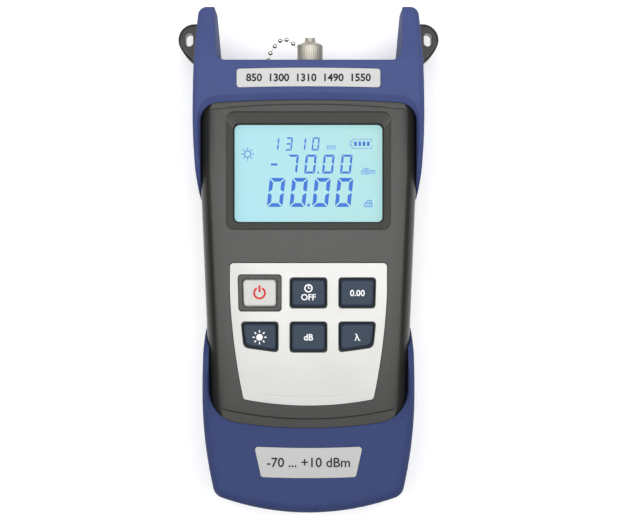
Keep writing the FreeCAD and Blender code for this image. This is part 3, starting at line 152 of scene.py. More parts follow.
# %% Paints
class Paint:
    """A material with one Principled shader, whose constants are set on its own sockets."""

    def __init__(self, name, **constants):
        self.material = bpy.data.materials.new(name)
        self.material.use_nodes = True
        self.nodes = self.material.node_tree.nodes
        self.links = self.material.node_tree.links
        self.shader = self.nodes["Principled BSDF"]
        for socket, constant in constants.items():
            self.put(self.shader.inputs[socket.replace("_", " ")], constant)
        self.place = self.add("ShaderNodeTexCoord", out="Object")

    def put(self, socket, content):
        """Link a value to a socket, or set the socket's own number or colour."""
        if isinstance(content, Value):
            self.links.new(content.socket, socket)
        elif content is not None:
            if hasattr(socket.default_value, "__len__") and len(content) == 3 \
                    and len(socket.default_value) == 4:
                content = (*content, 1.0)
            socket.default_value = content

    def add(self, kind, settings=None, inputs=None, out=0):
        """Add one node: its settings first, then the values or links of its sockets."""
        node = self.nodes.new(kind)
        for name, setting in (settings or {}).items():
            setattr(node, name, setting)
        for name, content in (inputs or {}).items():
            self.put(node.inputs[name], content)
        return Value(self, node.outputs[out])

    def noise(self, size, detail, stretch=(1, 1, 1)):
        """Soft noise from 0 to 1 whose spots are about size millimetres wide."""
        spot = self.add("ShaderNodeMapping", {}, {"Vector": self.place, "Scale": stretch})
        return self.add("ShaderNodeTexNoise", {}, {"Vector": spot, "Scale": 1 / (size * MM),
                                                   "Detail": detail})

    def axis(self, letter):
        """One coordinate of the surface point, in millimetres."""
        return self.add("ShaderNodeSeparateXYZ", {}, {0: self.place}, out=letter) * (1 / MM)

    def mix(self, share, first, second):
        """From the first colour to the second as share goes from 0 to 1."""
        return self.add("ShaderNodeMix", {"data_type": "RGBA"}, {0: share, 6: first, 7: second}, out=2)

    def feed(self, **sockets):
        """Put values on the shader's sockets, with _ for each space in a name."""
        for name, content in sockets.items():
            self.put(self.shader.inputs[name.replace("_", " ")], content)
        return self

    def bump(self, height, depth, strength, edge=0.0):
        """Raise the surface by a height from 0 to 1 times depth millimetres.

        edge is a radius in millimetres: sharp edges are then shaded as if they were rounded by it.
        """
        soft = self.add("ShaderNodeBevel", {"samples": 6}, {"Radius": edge * MM}) if edge else None
        return self.feed(Normal=self.add("ShaderNodeBump", {}, {
            "Height": height, "Distance": depth * MM, "Strength": strength, "Normal": soft}))


def shaded(tone, factor):
    """A colour with each of its parts multiplied by a factor."""
    return tuple(factor * part for part in tone)


# %% [markdown]
# ## Finishes
#
# Each real surface has a grain of its own: spark-eroded moulded plastic has a fine even pit,
# rubber is smoother and a little patchy, rolled metal is brushed in one direction.  All of these
# can be noise of the right size on Object coordinates, which stays put when a piece moves.
#
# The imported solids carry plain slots, named for what each piece is made of.  The cells below fill
# a table from slot name to finish, so two pieces of one material always match.
#
# ### Hard mouldings inside
#
# The light guide behind the glass, the circuit board, its chips and the port's ceramic sleeve are
# hard and satin.  One function makes them all, from a dark and a light tone of one colour.

# %% Hard mouldings inside
PIT, CLOUD = 0.22, 14  # millimetres across a pit of the mould's grain, and across a change of tone


def moulded_plastic(name, dark, light, rough):
    """Slow noise goes from the dark tone to the light one, and fine noise pits the surface."""
    paint = Paint(name, Specular_IOR_Level=0.4)
    grain = paint.noise(PIT, 3.0)
    tone = paint.mix(paint.noise(CLOUD, 3.0), dark, light)
    paint.feed(Base_Color=paint.mix(grain * 0.25, tone, shaded(light, 1.25)),
               Roughness=grain * 0.12 + (rough - 0.06))
    return paint.bump(grain, 0.03, 0.3, edge=0.4).material


FINISHES = {
    "light_guide": moulded_plastic("light_guide_finish", (0.75, 0.82, 0.83), (0.85, 0.92, 0.93), 0.2),
    "board_laminate": moulded_plastic("board_finish", (0.02, 0.13, 0.05), (0.03, 0.19, 0.08), 0.35),
    "chip_resin": moulded_plastic("chip_finish", (0.015, 0.015, 0.016), (0.03, 0.03, 0.03), 0.55),
    "sleeve_ceramic": moulded_plastic("ceramic_finish", (0.8, 0.8, 0.76), (0.9, 0.9, 0.86), 0.2),
}
print("hard mouldings:", *FINISHES)

# %% [markdown]
# ### Housing
#
# The housing is dark grey plastic, and its sunken border round the display is painted lighter:
# painted light, standing in for the light that the border's sloping walls catch.  The border could
# be a solid of its own, but it is one moulding with the rest, so one finish serves both and takes the
# painted-light tone from the place of each point.

# %% Housing
GREY, LIGHT_GREY = (0.0165, 0.017, 0.0145), (0.0245, 0.025, 0.0215)
# painted light: the sunken border's lighter grey stands in for light on its sloping walls
BORDER_PAINTED_LIGHT = (0.066, 0.067, 0.061)
BORDER_WIDE, BORDER_TALL = 32, 24  # half its size; it fades out over one millimetre more


def housing_plastic(name):
    """Grey plastic, with painted light in the sunken border of the display.

    The border is where a point lies near the display, below the face and above the glass: masks
    that fall from 1 to 0 at those bounds, multiplied.
    """
    paint = Paint(name, Specular_IOR_Level=0.27)
    grain = paint.noise(PIT, 3.0)
    tone = paint.mix(paint.noise(CLOUD, 3.0), GREY, LIGHT_GREY)
    beside, above = abs(paint.axis("X") - SCREEN[0]), abs(paint.axis("Y") - SCREEN[1])
    near = beside.ramp(BORDER_WIDE + 1, BORDER_WIDE) * above.ramp(BORDER_TALL + 1, BORDER_TALL)
    depth = paint.axis("Z")
    sunk = (FACE - depth).ramp(0.05, 0.3) * depth.ramp(GLASS - 1, GLASS)
    # painted light: the sunken border takes the lighter grey
    tone = paint.mix(near * sunk, tone, BORDER_PAINTED_LIGHT)
    paint.feed(Base_Color=paint.mix(grain * 0.2, tone, shaded(LIGHT_GREY, 1.25)),
               Roughness=grain * 0.1 + 0.2)
    return paint.bump(grain, 0.03, 0.3, edge=0.5).material


FINISHES["housing_plastic"] = housing_plastic("housing_plastic_finish")
print("housing from", GREY, "to", LIGHT_GREY)

# %% [markdown]
# ### Guards, keys and foam
#
# The two guards are soft rubber, the keys are harder, and silicone and foam sit inside.  Rubber
# scatters light and hardly gleams, so its specular level is low and its roughness high.  A slow
# change of tone along Y paints the upper guard paler than the lower one: painted light from the top
# end.

# %% Guards, keys and foam
BLUE_DARK, BLUE_LIGHT = (0.027, 0.042, 0.123), (0.056, 0.075, 0.205)
KEY_DARK, KEY_LIGHT = (0.02, 0.034, 0.056), (0.026, 0.043, 0.07)
POWER_DARK, POWER_LIGHT = (0.5, 0.495, 0.475), (0.56, 0.555, 0.535)
# painted light: along Y the guards turn paler, as if lit from beyond the top end
PAINTED_LIGHT_FROM, PAINTED_LIGHT_TO = 0, 70  # along Y, in millimetres


def moulded_rubber(name, dark, light, rough, painted_light_share=0.0):
    """Patches as wide as a fingertip go from the dark tone to the light one, over a faint grain.

    The last argument is the share of the light tone that comes from the place along Y instead: painted
    light, rising towards the top end.
    """
    paint = Paint(name, Specular_IOR_Level=0.16)
    patches = paint.noise(9, 4.0)
    grain = paint.noise(0.35, 3.0)
    share = patches * (1 - painted_light_share)
    # painted light: a share of the light tone rises along Y, towards the top end
    if painted_light_share:
        share = share + paint.axis("Y").ramp(PAINTED_LIGHT_FROM, PAINTED_LIGHT_TO) * painted_light_share
    paint.feed(Base_Color=paint.mix(share, dark, light),
               Roughness=patches * 0.1 + grain * 0.06 + (rough - 0.08))
    return paint.bump(grain, 0.02, 0.25, edge=0.6).material


FINISHES |= {
    "guard_rubber": moulded_rubber("guard_rubber_finish", BLUE_DARK, BLUE_LIGHT, 0.68, painted_light_share=0.7),
    "key_rubber": moulded_rubber("key_finish", KEY_DARK, KEY_LIGHT, 0.42),
    "power_key_rubber": moulded_rubber("power_key_finish", POWER_DARK, POWER_LIGHT, 0.4),
    "silicone": moulded_rubber("silicone_finish", (0.2, 0.2, 0.2), (0.25, 0.25, 0.25), 0.6),
    "black_foam": moulded_rubber("foam_finish", (0.01, 0.01, 0.01), (0.02, 0.02, 0.02), 0.8),
}
print(len(FINISHES), "finishes with the rubbers")

# %% [markdown]
# ### Metals
#
# The nameplates are rolled sheet, brushed in one direction; the chain, springs and port are
# plated and bright.  Both are a metallic shader.  Noise drawn out along one axis gives the
# strokes of a brush, and round noise gives the wear on plating.

# %% Metals
DRAWN_OUT = 0.04  # noise that is scaled by this along the brush becomes 25 times as long there


def brushed_metal(name, tone, rough, brushed="X", metallic=0.75):
    """Rolled sheet brushed one way: drawn-out noise changes its tone and its roughness."""
    stretch = (DRAWN_OUT, 1, 1) if brushed == "X" else (1, DRAWN_OUT, 1)
    paint = Paint(name, Metallic=metallic)
    strokes = paint.noise(0.12, 3.0, stretch)
    cloud = paint.noise(11, 2.0)
    paint.feed(Base_Color=paint.mix(strokes * 0.6 + cloud * 0.2, shaded(tone, 0.86), tone),
               Roughness=strokes * 0.15 + rough)
    return paint.bump(strokes, 0.008, 0.3).material


def plated_metal(name, tone, rough):
    """Bright plating: it mirrors the room, and fine noise changes its tone and its roughness."""
    paint = Paint(name, Metallic=1.0)
    wear = paint.noise(0.8, 4.0)
    paint.feed(Base_Color=paint.mix(wear, shaded(tone, 0.8), tone),
               Roughness=wear * 0.16 + rough - 0.04)
    return paint.bump(wear, 0.006, 0.25).material


FINISHES |= {
    "nameplate_metal": brushed_metal("nameplate_finish", (0.39, 0.39, 0.385), 0.36, metallic=0.4),
    "cell_can": brushed_metal("cell_finish", (0.6, 0.6, 0.62), 0.35, "Y"),
    "steel": plated_metal("zinc_finish", (0.62, 0.62, 0.63), 0.3),
    "nickel": plated_metal("nickel_finish", (0.7, 0.66, 0.58), 0.16),
    "contact_metal": plated_metal("contact_finish", (0.75, 0.73, 0.66), 0.25),
}
print(len(FINISHES), "finishes with the metals")

# %% [markdown]
# ### Print and pane
#
# Print is a thin flat film.  The pane has to be seen through, so its alpha is close to 0, and what
# is left of it is the gleam of its polished face.  Glass that bends light could be used too, but
# it is slow to render and a flat pane hardly bends what lies behind it.


# %% Print and pane
def ink(name, tone, rough=0.5):
    """Printed or moulded-in signs: an even film that fine noise darkens here and there."""
    paint = Paint(name, Specular_IOR_Level=0.2)
    speck = paint.noise(0.15, 2.0)
    paint.feed(Base_Color=paint.mix(speck * 0.12, tone, shaded(tone, 0.8)),
               Roughness=speck * 0.1 + rough)
    return paint.material


def clear_pane(name):
    """The window: an alpha of 0.004 to 0.008 on a polished, nearly white face."""
    paint = Paint(name, Base_Color=(0.9, 0.97, 0.98), Roughness=0.04, Specular_IOR_Level=0.2)
    paint.feed(Alpha=paint.noise(20, 1.0) * 0.004 + 0.004)
    return paint.material


FINISHES["clear_pane"] = clear_pane("pane_finish")
print(len(FINISHES), "finishes with the pane")

# %% [markdown]
# ### Lit display
#
# The display gives light of its own: a real one has a light guide behind the glass that is
# brightest at its edges.  A lamp behind the glass could do it, but the glass here is solid, so the
# surface itself shines: a soft field of colour, with a brighter rim.

# %% Lit display
CYAN, GREENER, RIM_GLOW = (0.41, 0.79, 0.90), (0.44, 0.775, 0.76), (0.52, 0.97, 0.98)
RIM_STARTS, RIM_FULL = 1.3, 0.3  # how far inside the opening the bright rim starts and is full


def lit_display(name):
    """Cyan at the left and greener at the right, and brighter near the opening's edge.

    The rim is the larger of two masks, one across and one along, each of which rises from 0 to 1
    as the distance from the centre comes near half the opening.
    """
    paint = Paint(name, Roughness=0.4, Specular_IOR_Level=0.1, Emission_Strength=0.63)
    across = paint.axis("X").ramp(SCREEN[0] - 27, SCREEN[0] + 22)
    cloud = paint.noise(16, 2.0) * 0.3 - 0.1
    field = paint.mix(across * 0.8 + cloud, CYAN, GREENER)
    starts, full = OPENING - RIM_STARTS, OPENING - RIM_FULL
    beside = abs(paint.axis("X") - SCREEN[0]).ramp(starts[0], full[0])
    above = abs(paint.axis("Y") - SCREEN[1]).ramp(starts[1], full[1])
    glow = paint.mix(beside.math("MAXIMUM", beside, above) * 0.75, field, RIM_GLOW)
    return paint.feed(Base_Color=(0.14, 0.22, 0.23), Emission_Color=glow).material


FINISHES["display_glass"] = lit_display("display_finish")
print("display lit over", (2 * OPENING).round(1), "mm")

# %% [markdown]
# ### Keypad plate
#
# The plate under the keys is pale metal under a pearly film, with a fine line pressed in near its
# bowed foot, and painted shade towards its left edge and its foot.  The line could be cut into the
# solid, but it is thinner than a hair, so it is drawn by the material: a formula on the place of each
# point dents the surface and darkens it, and the darkening is painted shade in the dent.

# %% Keypad plate
FOOT_ARC, LINE_INSET = 125.0, 2.9  # radius of the bowed foot, and how far inside it the line runs


def pearl_plate(name, tone):
    """Pale brushed metal with a pearly film, painted shade at its left and foot, and a fine line.

    The painted shade is 1 less the product of two masks that rise from the left edge and the foot.
    The line is where the distance from the centre of the foot's arc, less the arc's radius,
    comes within a hair of the line's own offset; it fades out towards the plate's corners.
    """
    paint = Paint(name, Metallic=0.25, Specular_IOR_Level=0.4)
    strokes = paint.noise(0.16, 3.0, (1, 0.05, 1))
    cloud = paint.noise(13, 3.0)
    across, along = paint.axis("X"), paint.axis("Y")
    rise = along - (PLATE_FOOT + FOOT_ARC)
    distance = (across ** 2 + rise ** 2) ** 0.5
    line = 1 - abs(distance - (FOOT_ARC - LINE_INSET)).ramp(0.05, 0.35)
    line = line * (1 - along.ramp(PLATE_FOOT + 3, PLATE_FOOT + 6))
    line = line * (1 - abs(across).ramp(19.0, 22.5))
    # painted shade: darker towards the left edge and towards the foot
    painted_shade = 1 - across.ramp(-30, -18) * along.ramp(PLATE_FOOT, -10)
    shade = paint.mix(cloud * 0.4 + painted_shade * 0.6, tone, shaded(tone, 0.8))
    # painted shade: the pressed line is darkened as shade in its dent, as well as dented
    paint.feed(Base_Color=paint.mix(line * 0.6, shade, (0.45, 0.45, 0.44)),
               Roughness=strokes * 0.12 + cloud * 0.06 + 0.34)
    return paint.bump(strokes * 0.2 - line, 0.05, 0.5).material


FINISHES["plate_metal"] = pearl_plate("plate_finish", (0.53, 0.53, 0.515))
print("line", LINE_INSET, "mm inside the plate's foot at", PLATE_FOOT.round(2))

# %% [markdown]
# ### Every solid gets its finish
#
# Each solid has one slot or more.  A slot's own name, without the number that Blender may add to
# it, is the key to the table, so one loop dresses them all.

# %% Give every solid its finish
for node, item in nodes.items():
    for holder in item.material_slots:
        holder.material = FINISHES[holder.material.name.split(".")[0]]
print(len(FINISHES), "finishes on", len(nodes), "nodes")

# %% [markdown]
# ## Making surfaces
#
# A mesh is only a shape.  It becomes a piece of the instrument when it has a finish and the body
# of the solid model that it moves with.


# %% From a mesh to a piece
def finished(name, mesh, body, paint, replaces=()):
    """Put a mesh into the scene as a piece that rides on a body."""
    piece = bpy.data.objects.new(name, mesh)
    bpy.context.scene.collection.objects.link(piece)
    mesh.materials.clear()
    mesh.materials.append(paint)
    if body:
        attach(piece, body)
    if replaces:
        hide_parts(*replaces)
    return piece


# %% [markdown]
# ### Grids
#
# The cap and the chain are grids of points worked out as whole arrays: rows run along a profile
# and columns run round it.  One function turns such a grid into a mesh, closed round and at its
# ends, and another gives the points of a form that is turned, as on a lathe.

# %% Grids
SHARP = math.radians(40)  # edges that turn by more than this stay sharp in the shading


def grid_mesh(name, points):
    """Join a grid of points, rows by columns in millimetres, that closes round its columns.

    Row ends are closed by one face each, and points that fall together become one.
    """
    rows, columns = points.shape[:2]
    row, column = np.meshgrid(np.arange(rows - 1), np.arange(columns), indexing="ij")
    here = row * columns + column
    beside = row * columns + (column + 1) % columns
    quads = np.stack([here, beside, beside + columns, here + columns], axis=-1).reshape(-1, 4)
    ends = [list(range(columns))[::-1], list(range((rows - 1) * columns, rows * columns))]
    mesh = bpy.data.meshes.new(name)
    mesh.from_pydata((points.reshape(-1, 3) * MM).tolist(), [], quads.tolist() + ends)
    work = bmesh.new()
    work.from_mesh(mesh)
    bmesh.ops.remove_doubles(work, verts=work.verts, dist=1e-7)
    bmesh.ops.recalc_face_normals(work, faces=work.faces)
    work.to_mesh(mesh)
    work.free()
    mesh.shade_smooth()
    mesh.set_sharp_from_angle(angle=SHARP)
    return mesh


def turned(profile, centre, columns):
    """Points of a form turned round a line along Y.

    Each (distance, radius) of the profile becomes a ring: the radius times the cosine of the
    angle goes across, times its sine goes up, and the distance runs along Y.
    """
    distance, radius = np.array(profile, float).T
    angle = np.linspace(0, 2 * np.pi, columns, endpoint=False)
    across, up = np.outer(radius, np.cos(angle)), np.outer(radius, np.sin(angle))
    run = np.broadcast_to(distance[:, None], across.shape)
    return np.stack((across, run, up), axis=-1) + np.array(centre, float)


# %% [markdown]
# ### Prisms
#
# Print and display segments are flat shapes with a hair of thickness.  Each is a prism: its
# outline at two levels, a wall between them, and a lid on each.


# %% Prisms
def prisms(name, outlines, bottom, top):
    """Thin closed prisms, one over each outline; an outline is an (n, 2) array in millimetres.

    Half the sum of x times the next y, less y times the next x, is an outline's area, and it is
    negative for an outline that runs clockwise, which is turned round so that faces point out.
    """
    points, faces, start = [], [], 0
    for outline in outlines:
        outline = np.asarray(outline, float)
        x, y = outline.T
        if np.sum(x * np.roll(y, -1) - y * np.roll(x, -1)) < 0:
            outline = outline[::-1]
        count = len(outline)
        for level in (bottom, top):
            points.append(np.column_stack([outline, np.full(count, level)]))
        first = np.arange(count) + start
        after = np.roll(first, -1)
        faces += np.stack([first, after, after + count, first + count], axis=-1).tolist()
        faces += [first[::-1].tolist(), (first + count).tolist()]
        start += 2 * count
    mesh = bpy.data.meshes.new(name)
    mesh.from_pydata((np.concatenate(points) * MM).tolist(), [], faces)
    mesh.shade_flat()
    return mesh


# %% [markdown]
# ## Signs
#
# Letters and digits are flat and thin.  Words come from Blender's own font, made a mesh at once;
# display digits and symbols are outlines worked out from a few numbers, because a seven-segment
# digit is a drawing of bars, not a letter.


# %% Words
def words(name, text, height, centre, bottom, top, weight=0.0, stretch=1.0):
    """A line of text as a mesh, height millimetres tall and centred at a point.

    Each point is moved by the middle of the text's box and scaled by height over the box's own
    height.  Points of its upper side go to the top level and the others to the bottom level.
    """
    curve = bpy.data.curves.new(name, "FONT")
    curve.body, curve.offset, curve.extrude = text, weight, 0.5
    curve.resolution_u = 4
    carrier = bpy.data.objects.new(name, curve)
    mesh = bpy.data.meshes.new_from_object(carrier)
    bpy.data.objects.remove(carrier)
    points = np.empty(len(mesh.vertices) * 3)
    mesh.vertices.foreach_get("co", points)
    points = points.reshape(-1, 3)
    lowest, highest = points.min(axis=0), points.max(axis=0)
    size = height / (highest[1] - lowest[1])
    points[:, :2] = (points[:, :2] - (lowest + highest)[:2] / 2) * (size * stretch, size) + centre
    points[:, 2] = np.where(points[:, 2] > 0, top, bottom)
    mesh.vertices.foreach_set("co", (points * MM).ravel())
    mesh.update()
    return mesh


def joined(name, *meshes):
    """Several meshes as one, their points and faces in turn."""
    work = bmesh.new()
    for mesh in meshes:
        work.from_mesh(mesh)
    result = bpy.data.meshes.new(name)
    work.to_mesh(result)
    work.free()
    return result


# %% [markdown]
# ### Outlines
#
# Three flat outlines make up all the symbols: a band bent round a centre, a straight bar and a
# disc.  Each is an array of points in order round its edge, which a prism can stand on.


# %% Outlines
def arc_band(centre, inner, outer, start, stop, steps=40):
    """A band from one angle to another, in degrees: out along one radius, back along the other."""
    angle = np.radians(np.linspace(start, stop, steps))
    ring = np.column_stack([np.cos(angle), np.sin(angle)])
    return np.concatenate([ring * outer, ring[::-1] * inner]) + centre


def bar(start, stop, width):
    """A straight bar: two points, each moved half the width to both sides of their line."""
    start, stop = np.array(start, float), np.array(stop, float)
    along = (stop - start) / np.linalg.norm(stop - start)
    side = np.array([-along[1], along[0]]) * width / 2
    return np.array([start - side, stop - side, stop + side, start + side])


def disc(centre, radius, steps=24):
    """A round outline: the radius times the cosine and sine of evenly spaced angles."""
    angle = np.linspace(0, 2 * np.pi, steps, endpoint=False)
    return np.column_stack([np.cos(angle), np.sin(angle)]) * radius + centre


# %% [markdown]
# ### Seven-segment digits
#
# Each digit of the display is some of seven bars round a figure of eight.  A table says which
# bars a digit has, and every bar is an outline with mitred ends, so that a narrow gap is left
# where two of them meet, as on the glass.

# %% Seven-segment digits
SEGMENTS = {"0": "abcdef", "1": "bc", "3": "abgcd", "7": "abc"}  # only the digits that are shown


def digit(sign, corner, width, height, thickness, gap, slant):
    """Outlines of one digit: mitred bars round a box, each point moved right by slant times y.

    The corners are sums of the box's width w and height h, the bars' thickness t, the gap g
    and the middle m, which is half the height.
    """
    w, h, t, g, m = width, height, thickness, gap, height / 2
    shapes = {
        "a": [(g, h), (w - g, h), (w - t - g, h - t), (t + g, h - t)],
        "d": [(g, 0), (w - g, 0), (w - t - g, t), (t + g, t)],
        "f": [(0, h - g), (t, h - t - g), (t, m + t / 2 + g), (t / 3, m + g), (0, m + g)],
        "e": [(0, g), (t, t + g), (t, m - t / 2 - g), (t / 3, m - g), (0, m - g)],
        "b": [(w, h - g), (w - t, h - t - g), (w - t, m + t / 2 + g), (w - t / 3, m + g), (w, m + g)],
        "c": [(w, g), (w - t, t + g), (w - t, m - t / 2 - g), (w - t / 3, m - g), (w, m - g)],
        "g": [(t / 2 + g, m), (t + g, m + t / 2), (w - t - g, m + t / 2), (w - t / 2 - g, m),
              (w - t - g, m - t / 2), (t + g, m - t / 2)],
    }
    lean = np.array([[1, 0], [slant, 1]])
    return [np.array(shapes[name]) @ lean + corner for name in SEGMENTS[sign]]


print("bars in each digit:", {sign: len(bars) for sign, bars in SEGMENTS.items()})

# %% [markdown]
# ### What the display shows
#
# On the real glass each segment is liquid crystal between clear electrodes, and it turns dark blue
# when it is switched on.  It could be painted on the glass by a material, but drawn as very thin
# prisms on it the digits keep crisp edges at any distance.

# %% Digits and units
FILM = 0.04  # thickness of a print or segment
LEAN = 0.105  # slant of the digits
HUB = SCREEN[:2]  # places on the display are counted from its centre
segments = []
rows = (  # text, left edge and baseline, pitch, width, height, bar, gap
    ("1310", (-14.05, 8.75), 5.06, 2.65, 4.95, 0.56, 0.12),
    ("7000", (-8.44, 0.06), 6.75, 4.1, 7.15, 0.82, 0.15),
    ("0000", (-15.69, -12.45), 8.53, 5.9, 10.9, 1.42, 0.36),
)
for text, (left, base), pitch, width, tall, thick, gap in rows:
    for place, sign in enumerate(text):
        corner = HUB + (left + place * pitch, base)
        segments += digit(sign, corner, width, tall, thick, gap, LEAN)
segments.append(bar(HUB + (-14.1, 3.5), HUB + (-11.7, 3.5), 0.8))  # the minus sign
for x, y, size in ((3.65, 0.42, 0.65), (0.0, -11.8, 1.0)):  # the two decimal points
    segments.append(bar(HUB + (x - size / 2, y), HUB + (x + size / 2, y), size))
UNITS = (  # text, height, centre and how wide it is drawn
    ("nm", 1.6, (8.6, 9.86), 0.8),
    ("dBm", 2.45, (22.4, 1.0), 0.84),
    ("dB", 2.75, (22.5, -11.2), 0.8),
)
units = [words(text, text, tall, HUB + place, GLASS, GLASS + FILM, stretch=wide)
         for text, tall, place, wide in UNITS]
print(len(segments), "bars of digits and", len(units), "units")

# %% [markdown]
# ### Battery and lamp signs
#
# Two small signs stand beside the digits: a battery with its charge and a sun for the backlight.
# They are made of the same bars and bands as the digits, so they join the same piece.


# %% Battery and lamp signs
def battery_sign(corner):
    """A lying battery: a dashed outline with a nub at its left, and four bars inside."""
    wide, tall, thin = 7.4, 3.4, 0.2
    dashes = [bar(corner + (x, y), corner + (x + 0.95, y), thin)
              for x in np.linspace(0.1, wide - 1.05, 6) for y in (0, tall)]
    ends = [bar(corner + (x, y), corner + (x, y + 0.9), thin)
            for x in (0, wide) for y in (0.1, tall - 1.0)]
    nub = [bar(corner + (-0.65, 1.0), corner + (-0.65, 2.4), thin)]
    nub += [bar(corner + (-0.6, y), corner + (0, y), thin) for y in (1.0, 2.4)]
    bars = [bar(corner + (x, 0.85), corner + (x, 2.55), 0.95) for x in 1.3 + 1.6 * np.arange(4)]
    return dashes + ends + nub + bars


def rays(centre, inner, outer, width):
    """Eight bars round a centre: each from the inner to the outer radius, at steps of 45 degrees."""
    angle = np.arange(8) * np.pi / 4
    return [bar(centre + inner * turn, centre + outer * turn, width)
            for turn in np.column_stack([np.cos(angle), np.sin(angle)])]


def sun_sign(centre):
    """A small sun: a ring with eight short rays, the sign of the backlight."""
    return [arc_band(centre, 1.02, 1.36, 0, 358), *rays(centre, 1.6, 2.45, 0.3)]


segments += battery_sign(HUB + (16.4, 9.6)) + sun_sign(HUB + (-22.9, 7.4))

# %% [markdown]
# Digits and signs are one piece in a deep blue ink, and the small units are a second piece in a
# paler one, because thin strokes on the real glass look lighter.

# %% The display's two pieces
DIGIT_INK = ink("segment_finish", (0.03, 0.135, 0.52), 0.6)
finished("display_segments", prisms("bars", segments, GLASS, GLASS + FILM), "root",
         DIGIT_INK)
UNIT_INK = ink("unit_finish", (0.06, 0.21, 0.62), 0.6)
finished("display_units", joined("display_units", *units), "root", UNIT_INK)
print(len(segments), "segments on the glass")

# %% [markdown]
# ### The window's black border
#
# A black line runs round the window's edge.  It is one flat ring between two rounded rectangles,
# laid on the pane just inside the opening.


# %% The window's black border
def rounded_box(half_wide, half_tall, corner, steps=8):
    """Outline of a rounded rectangle about the display's centre: four quarter circles in turn.

    Each quarter has its centre one corner radius inside the rectangle's corner.
    """
    angle = np.linspace(0, np.pi / 2, steps)
    quarters = []
    for turn, (x, y) in enumerate(((1, 1), (-1, 1), (-1, -1), (1, -1))):
        spin = angle + turn * np.pi / 2
        centre = np.array([x * (half_wide - corner), y * (half_tall - corner)])
        quarters.append(np.column_stack([np.cos(spin), np.sin(spin)]) * corner + centre)
    return np.concatenate(quarters) + HUB


def ring_mesh(name, outer, inner, bottom, top):
    """A flat ring between two outlines that have the same number of points.

    Four loops, the outer one low and high and the inner one high and low, are each joined to
    the next, and the last to the first.
    """
    loops = [(outer, bottom), (outer, top), (inner, top), (inner, bottom)]
    points = np.stack([np.column_stack([line, np.full(len(line), level)]) for line, level in loops])
    count = points.shape[1]
    row, column = np.meshgrid(np.arange(4), np.arange(count), indexing="ij")
    here, beside = row * count + column, row * count + (column + 1) % count
    quads = np.stack([here, beside, beside + count, here + count], axis=-1) % (4 * count)
    mesh = bpy.data.meshes.new(name)
    mesh.from_pydata((points.reshape(-1, 3) * MM).tolist(), [], quads.reshape(-1, 4).tolist())
    work = bmesh.new()
    work.from_mesh(mesh)
    bmesh.ops.recalc_face_normals(work, faces=work.faces)
    work.to_mesh(mesh)
    work.free()
    return mesh


# %% [markdown]
# The border is held a hair above the pane, because two faces in one place flicker.  Its outer part
# runs on under the housing's lip, so that no gap shows from the side.

# %% Lay the border on the pane
LAP, SEEN = 0.4, 0.55  # how far the border reaches under the housing's lip, and how far out of it
OUTER_CORNER, INNER_CORNER = 2.4, 1.7
pane_top = high("lcd_window")[2]
outer = rounded_box(*(OPENING + LAP), OUTER_CORNER)
inner = rounded_box(*(OPENING - SEEN), INNER_CORNER)
border = ring_mesh("pane_border", outer, inner, pane_top + 0.02, pane_top + 0.06)
BORDER_INK = ink("border_finish", (0.01, 0.008, 0.006))
finished("pane_border", border, "root", BORDER_INK)
print("border of", LAP + SEEN, "mm, laid on the pane at", pane_top.round(2))

# %% [markdown]
# ### Signs on the keys
#
# The signs are moulded in a second colour, flush with each key.  They are thin prisms that stand
# a hair above the key's top, and each rides on its own key so that it goes down with it.

# %% A sign on a key
WHITE_INK = ink("white_sign_finish", (0.86, 0.87, 0.88))
RED_INK = ink("red_sign_finish", (0.55, 0.004, 0.003))


def key_sign(key, outlines=(), lines=(), paint=WHITE_INK):
    """Signs on one key: outlines and (text, height, offset) lines about the key's middle."""
    top = high(key)[2]
    centre = middle(key)[:2]
    span = (top - FILM, top + FILM)
    made = [words(key, text, tall, centre + offset, *span, weight=0.014)
            for text, tall, offset in lines]
    if len(outlines):
        made.append(prisms(key, [outline + centre for outline in outlines], *span))
    name = key.replace("_key", "_sign")
    return finished(name, joined(name, *made), key, paint)


# %% [markdown]
# Each key has the usual sign of what it does: power, a clock for switching off by itself, zero,
# the display's lamp, the unit, and the wavelength.

# %% The six signs
zero = np.zeros(2)
key_sign("power_key", [arc_band(zero, 1.65, 2.35, 118, 422), bar((0, 0.3), (0, 2.85), 0.75)],
         paint=RED_INK)
clock = np.array([0, 1.75])
key_sign("auto_off_key", [arc_band(clock, 1.1, 1.55, 0, 358), bar(clock, clock + (0, 1.0), 0.36),
                          bar(clock - (0.18, 0), clock + (0.75, 0), 0.36)], [("OFF", 2.3, (0, -1.55))])
key_sign("zero_key", lines=[("0.00", 2.35, (0, 0))])
key_sign("light_key", [disc(zero, 1.2), *rays(zero, 1.75, 2.6, 0.42)])
key_sign("unit_key", lines=[("dB", 2.35, (0, 0))])
key_sign("wavelength_key", lines=[("λ", 2.6, (0, 0))])
print("signs on", sum(name.endswith("_key") for name in nodes), "keys")

# %% [markdown]
# ### Numbers on the nameplates
#
# The two metal plates carry print.  Plain numbers fill them: the usual wavelengths on the upper
# plate and a level range on the lower one.

# %% Numbers on the nameplates
BLACK_INK = ink("black_print_finish", (0.012, 0.012, 0.013))
PRINT_PROUD = 0.01  # how far the print stands above the metal
for plate, text, tall, weight in (("top_nameplate", "850  1300  1310  1490  1550", 3.0, 0.03),
                                  ("bottom_nameplate", "-70 ... +10 dBm", 3.6, 0.014)):
    top = high(plate)[2]
    place = middle(plate)[:2]
    mesh = words(plate, text, tall, place, top - FILM, top + PRINT_PROUD, weight, stretch=1.02)
    finished(plate.replace("nameplate", "print"), mesh, "root", BLACK_INK)
    print(plate, "carries", text)

# %% [markdown]
# ## Dust cap and chain
#
# The cap is turned and its side is fluted for the fingers.  A boolean could cut the flutes, but a
# turned grid whose radius dips with the angle gives the same form with clean faces.


# %% Dust cap
FLUTES, FLUTE_DEPTH = 36, 0.022  # the depth is a share of the radius
GRIP_START, GRIP_END = 1.72, 1.45  # how far the fluted grip lies from the lip and from the cap's end


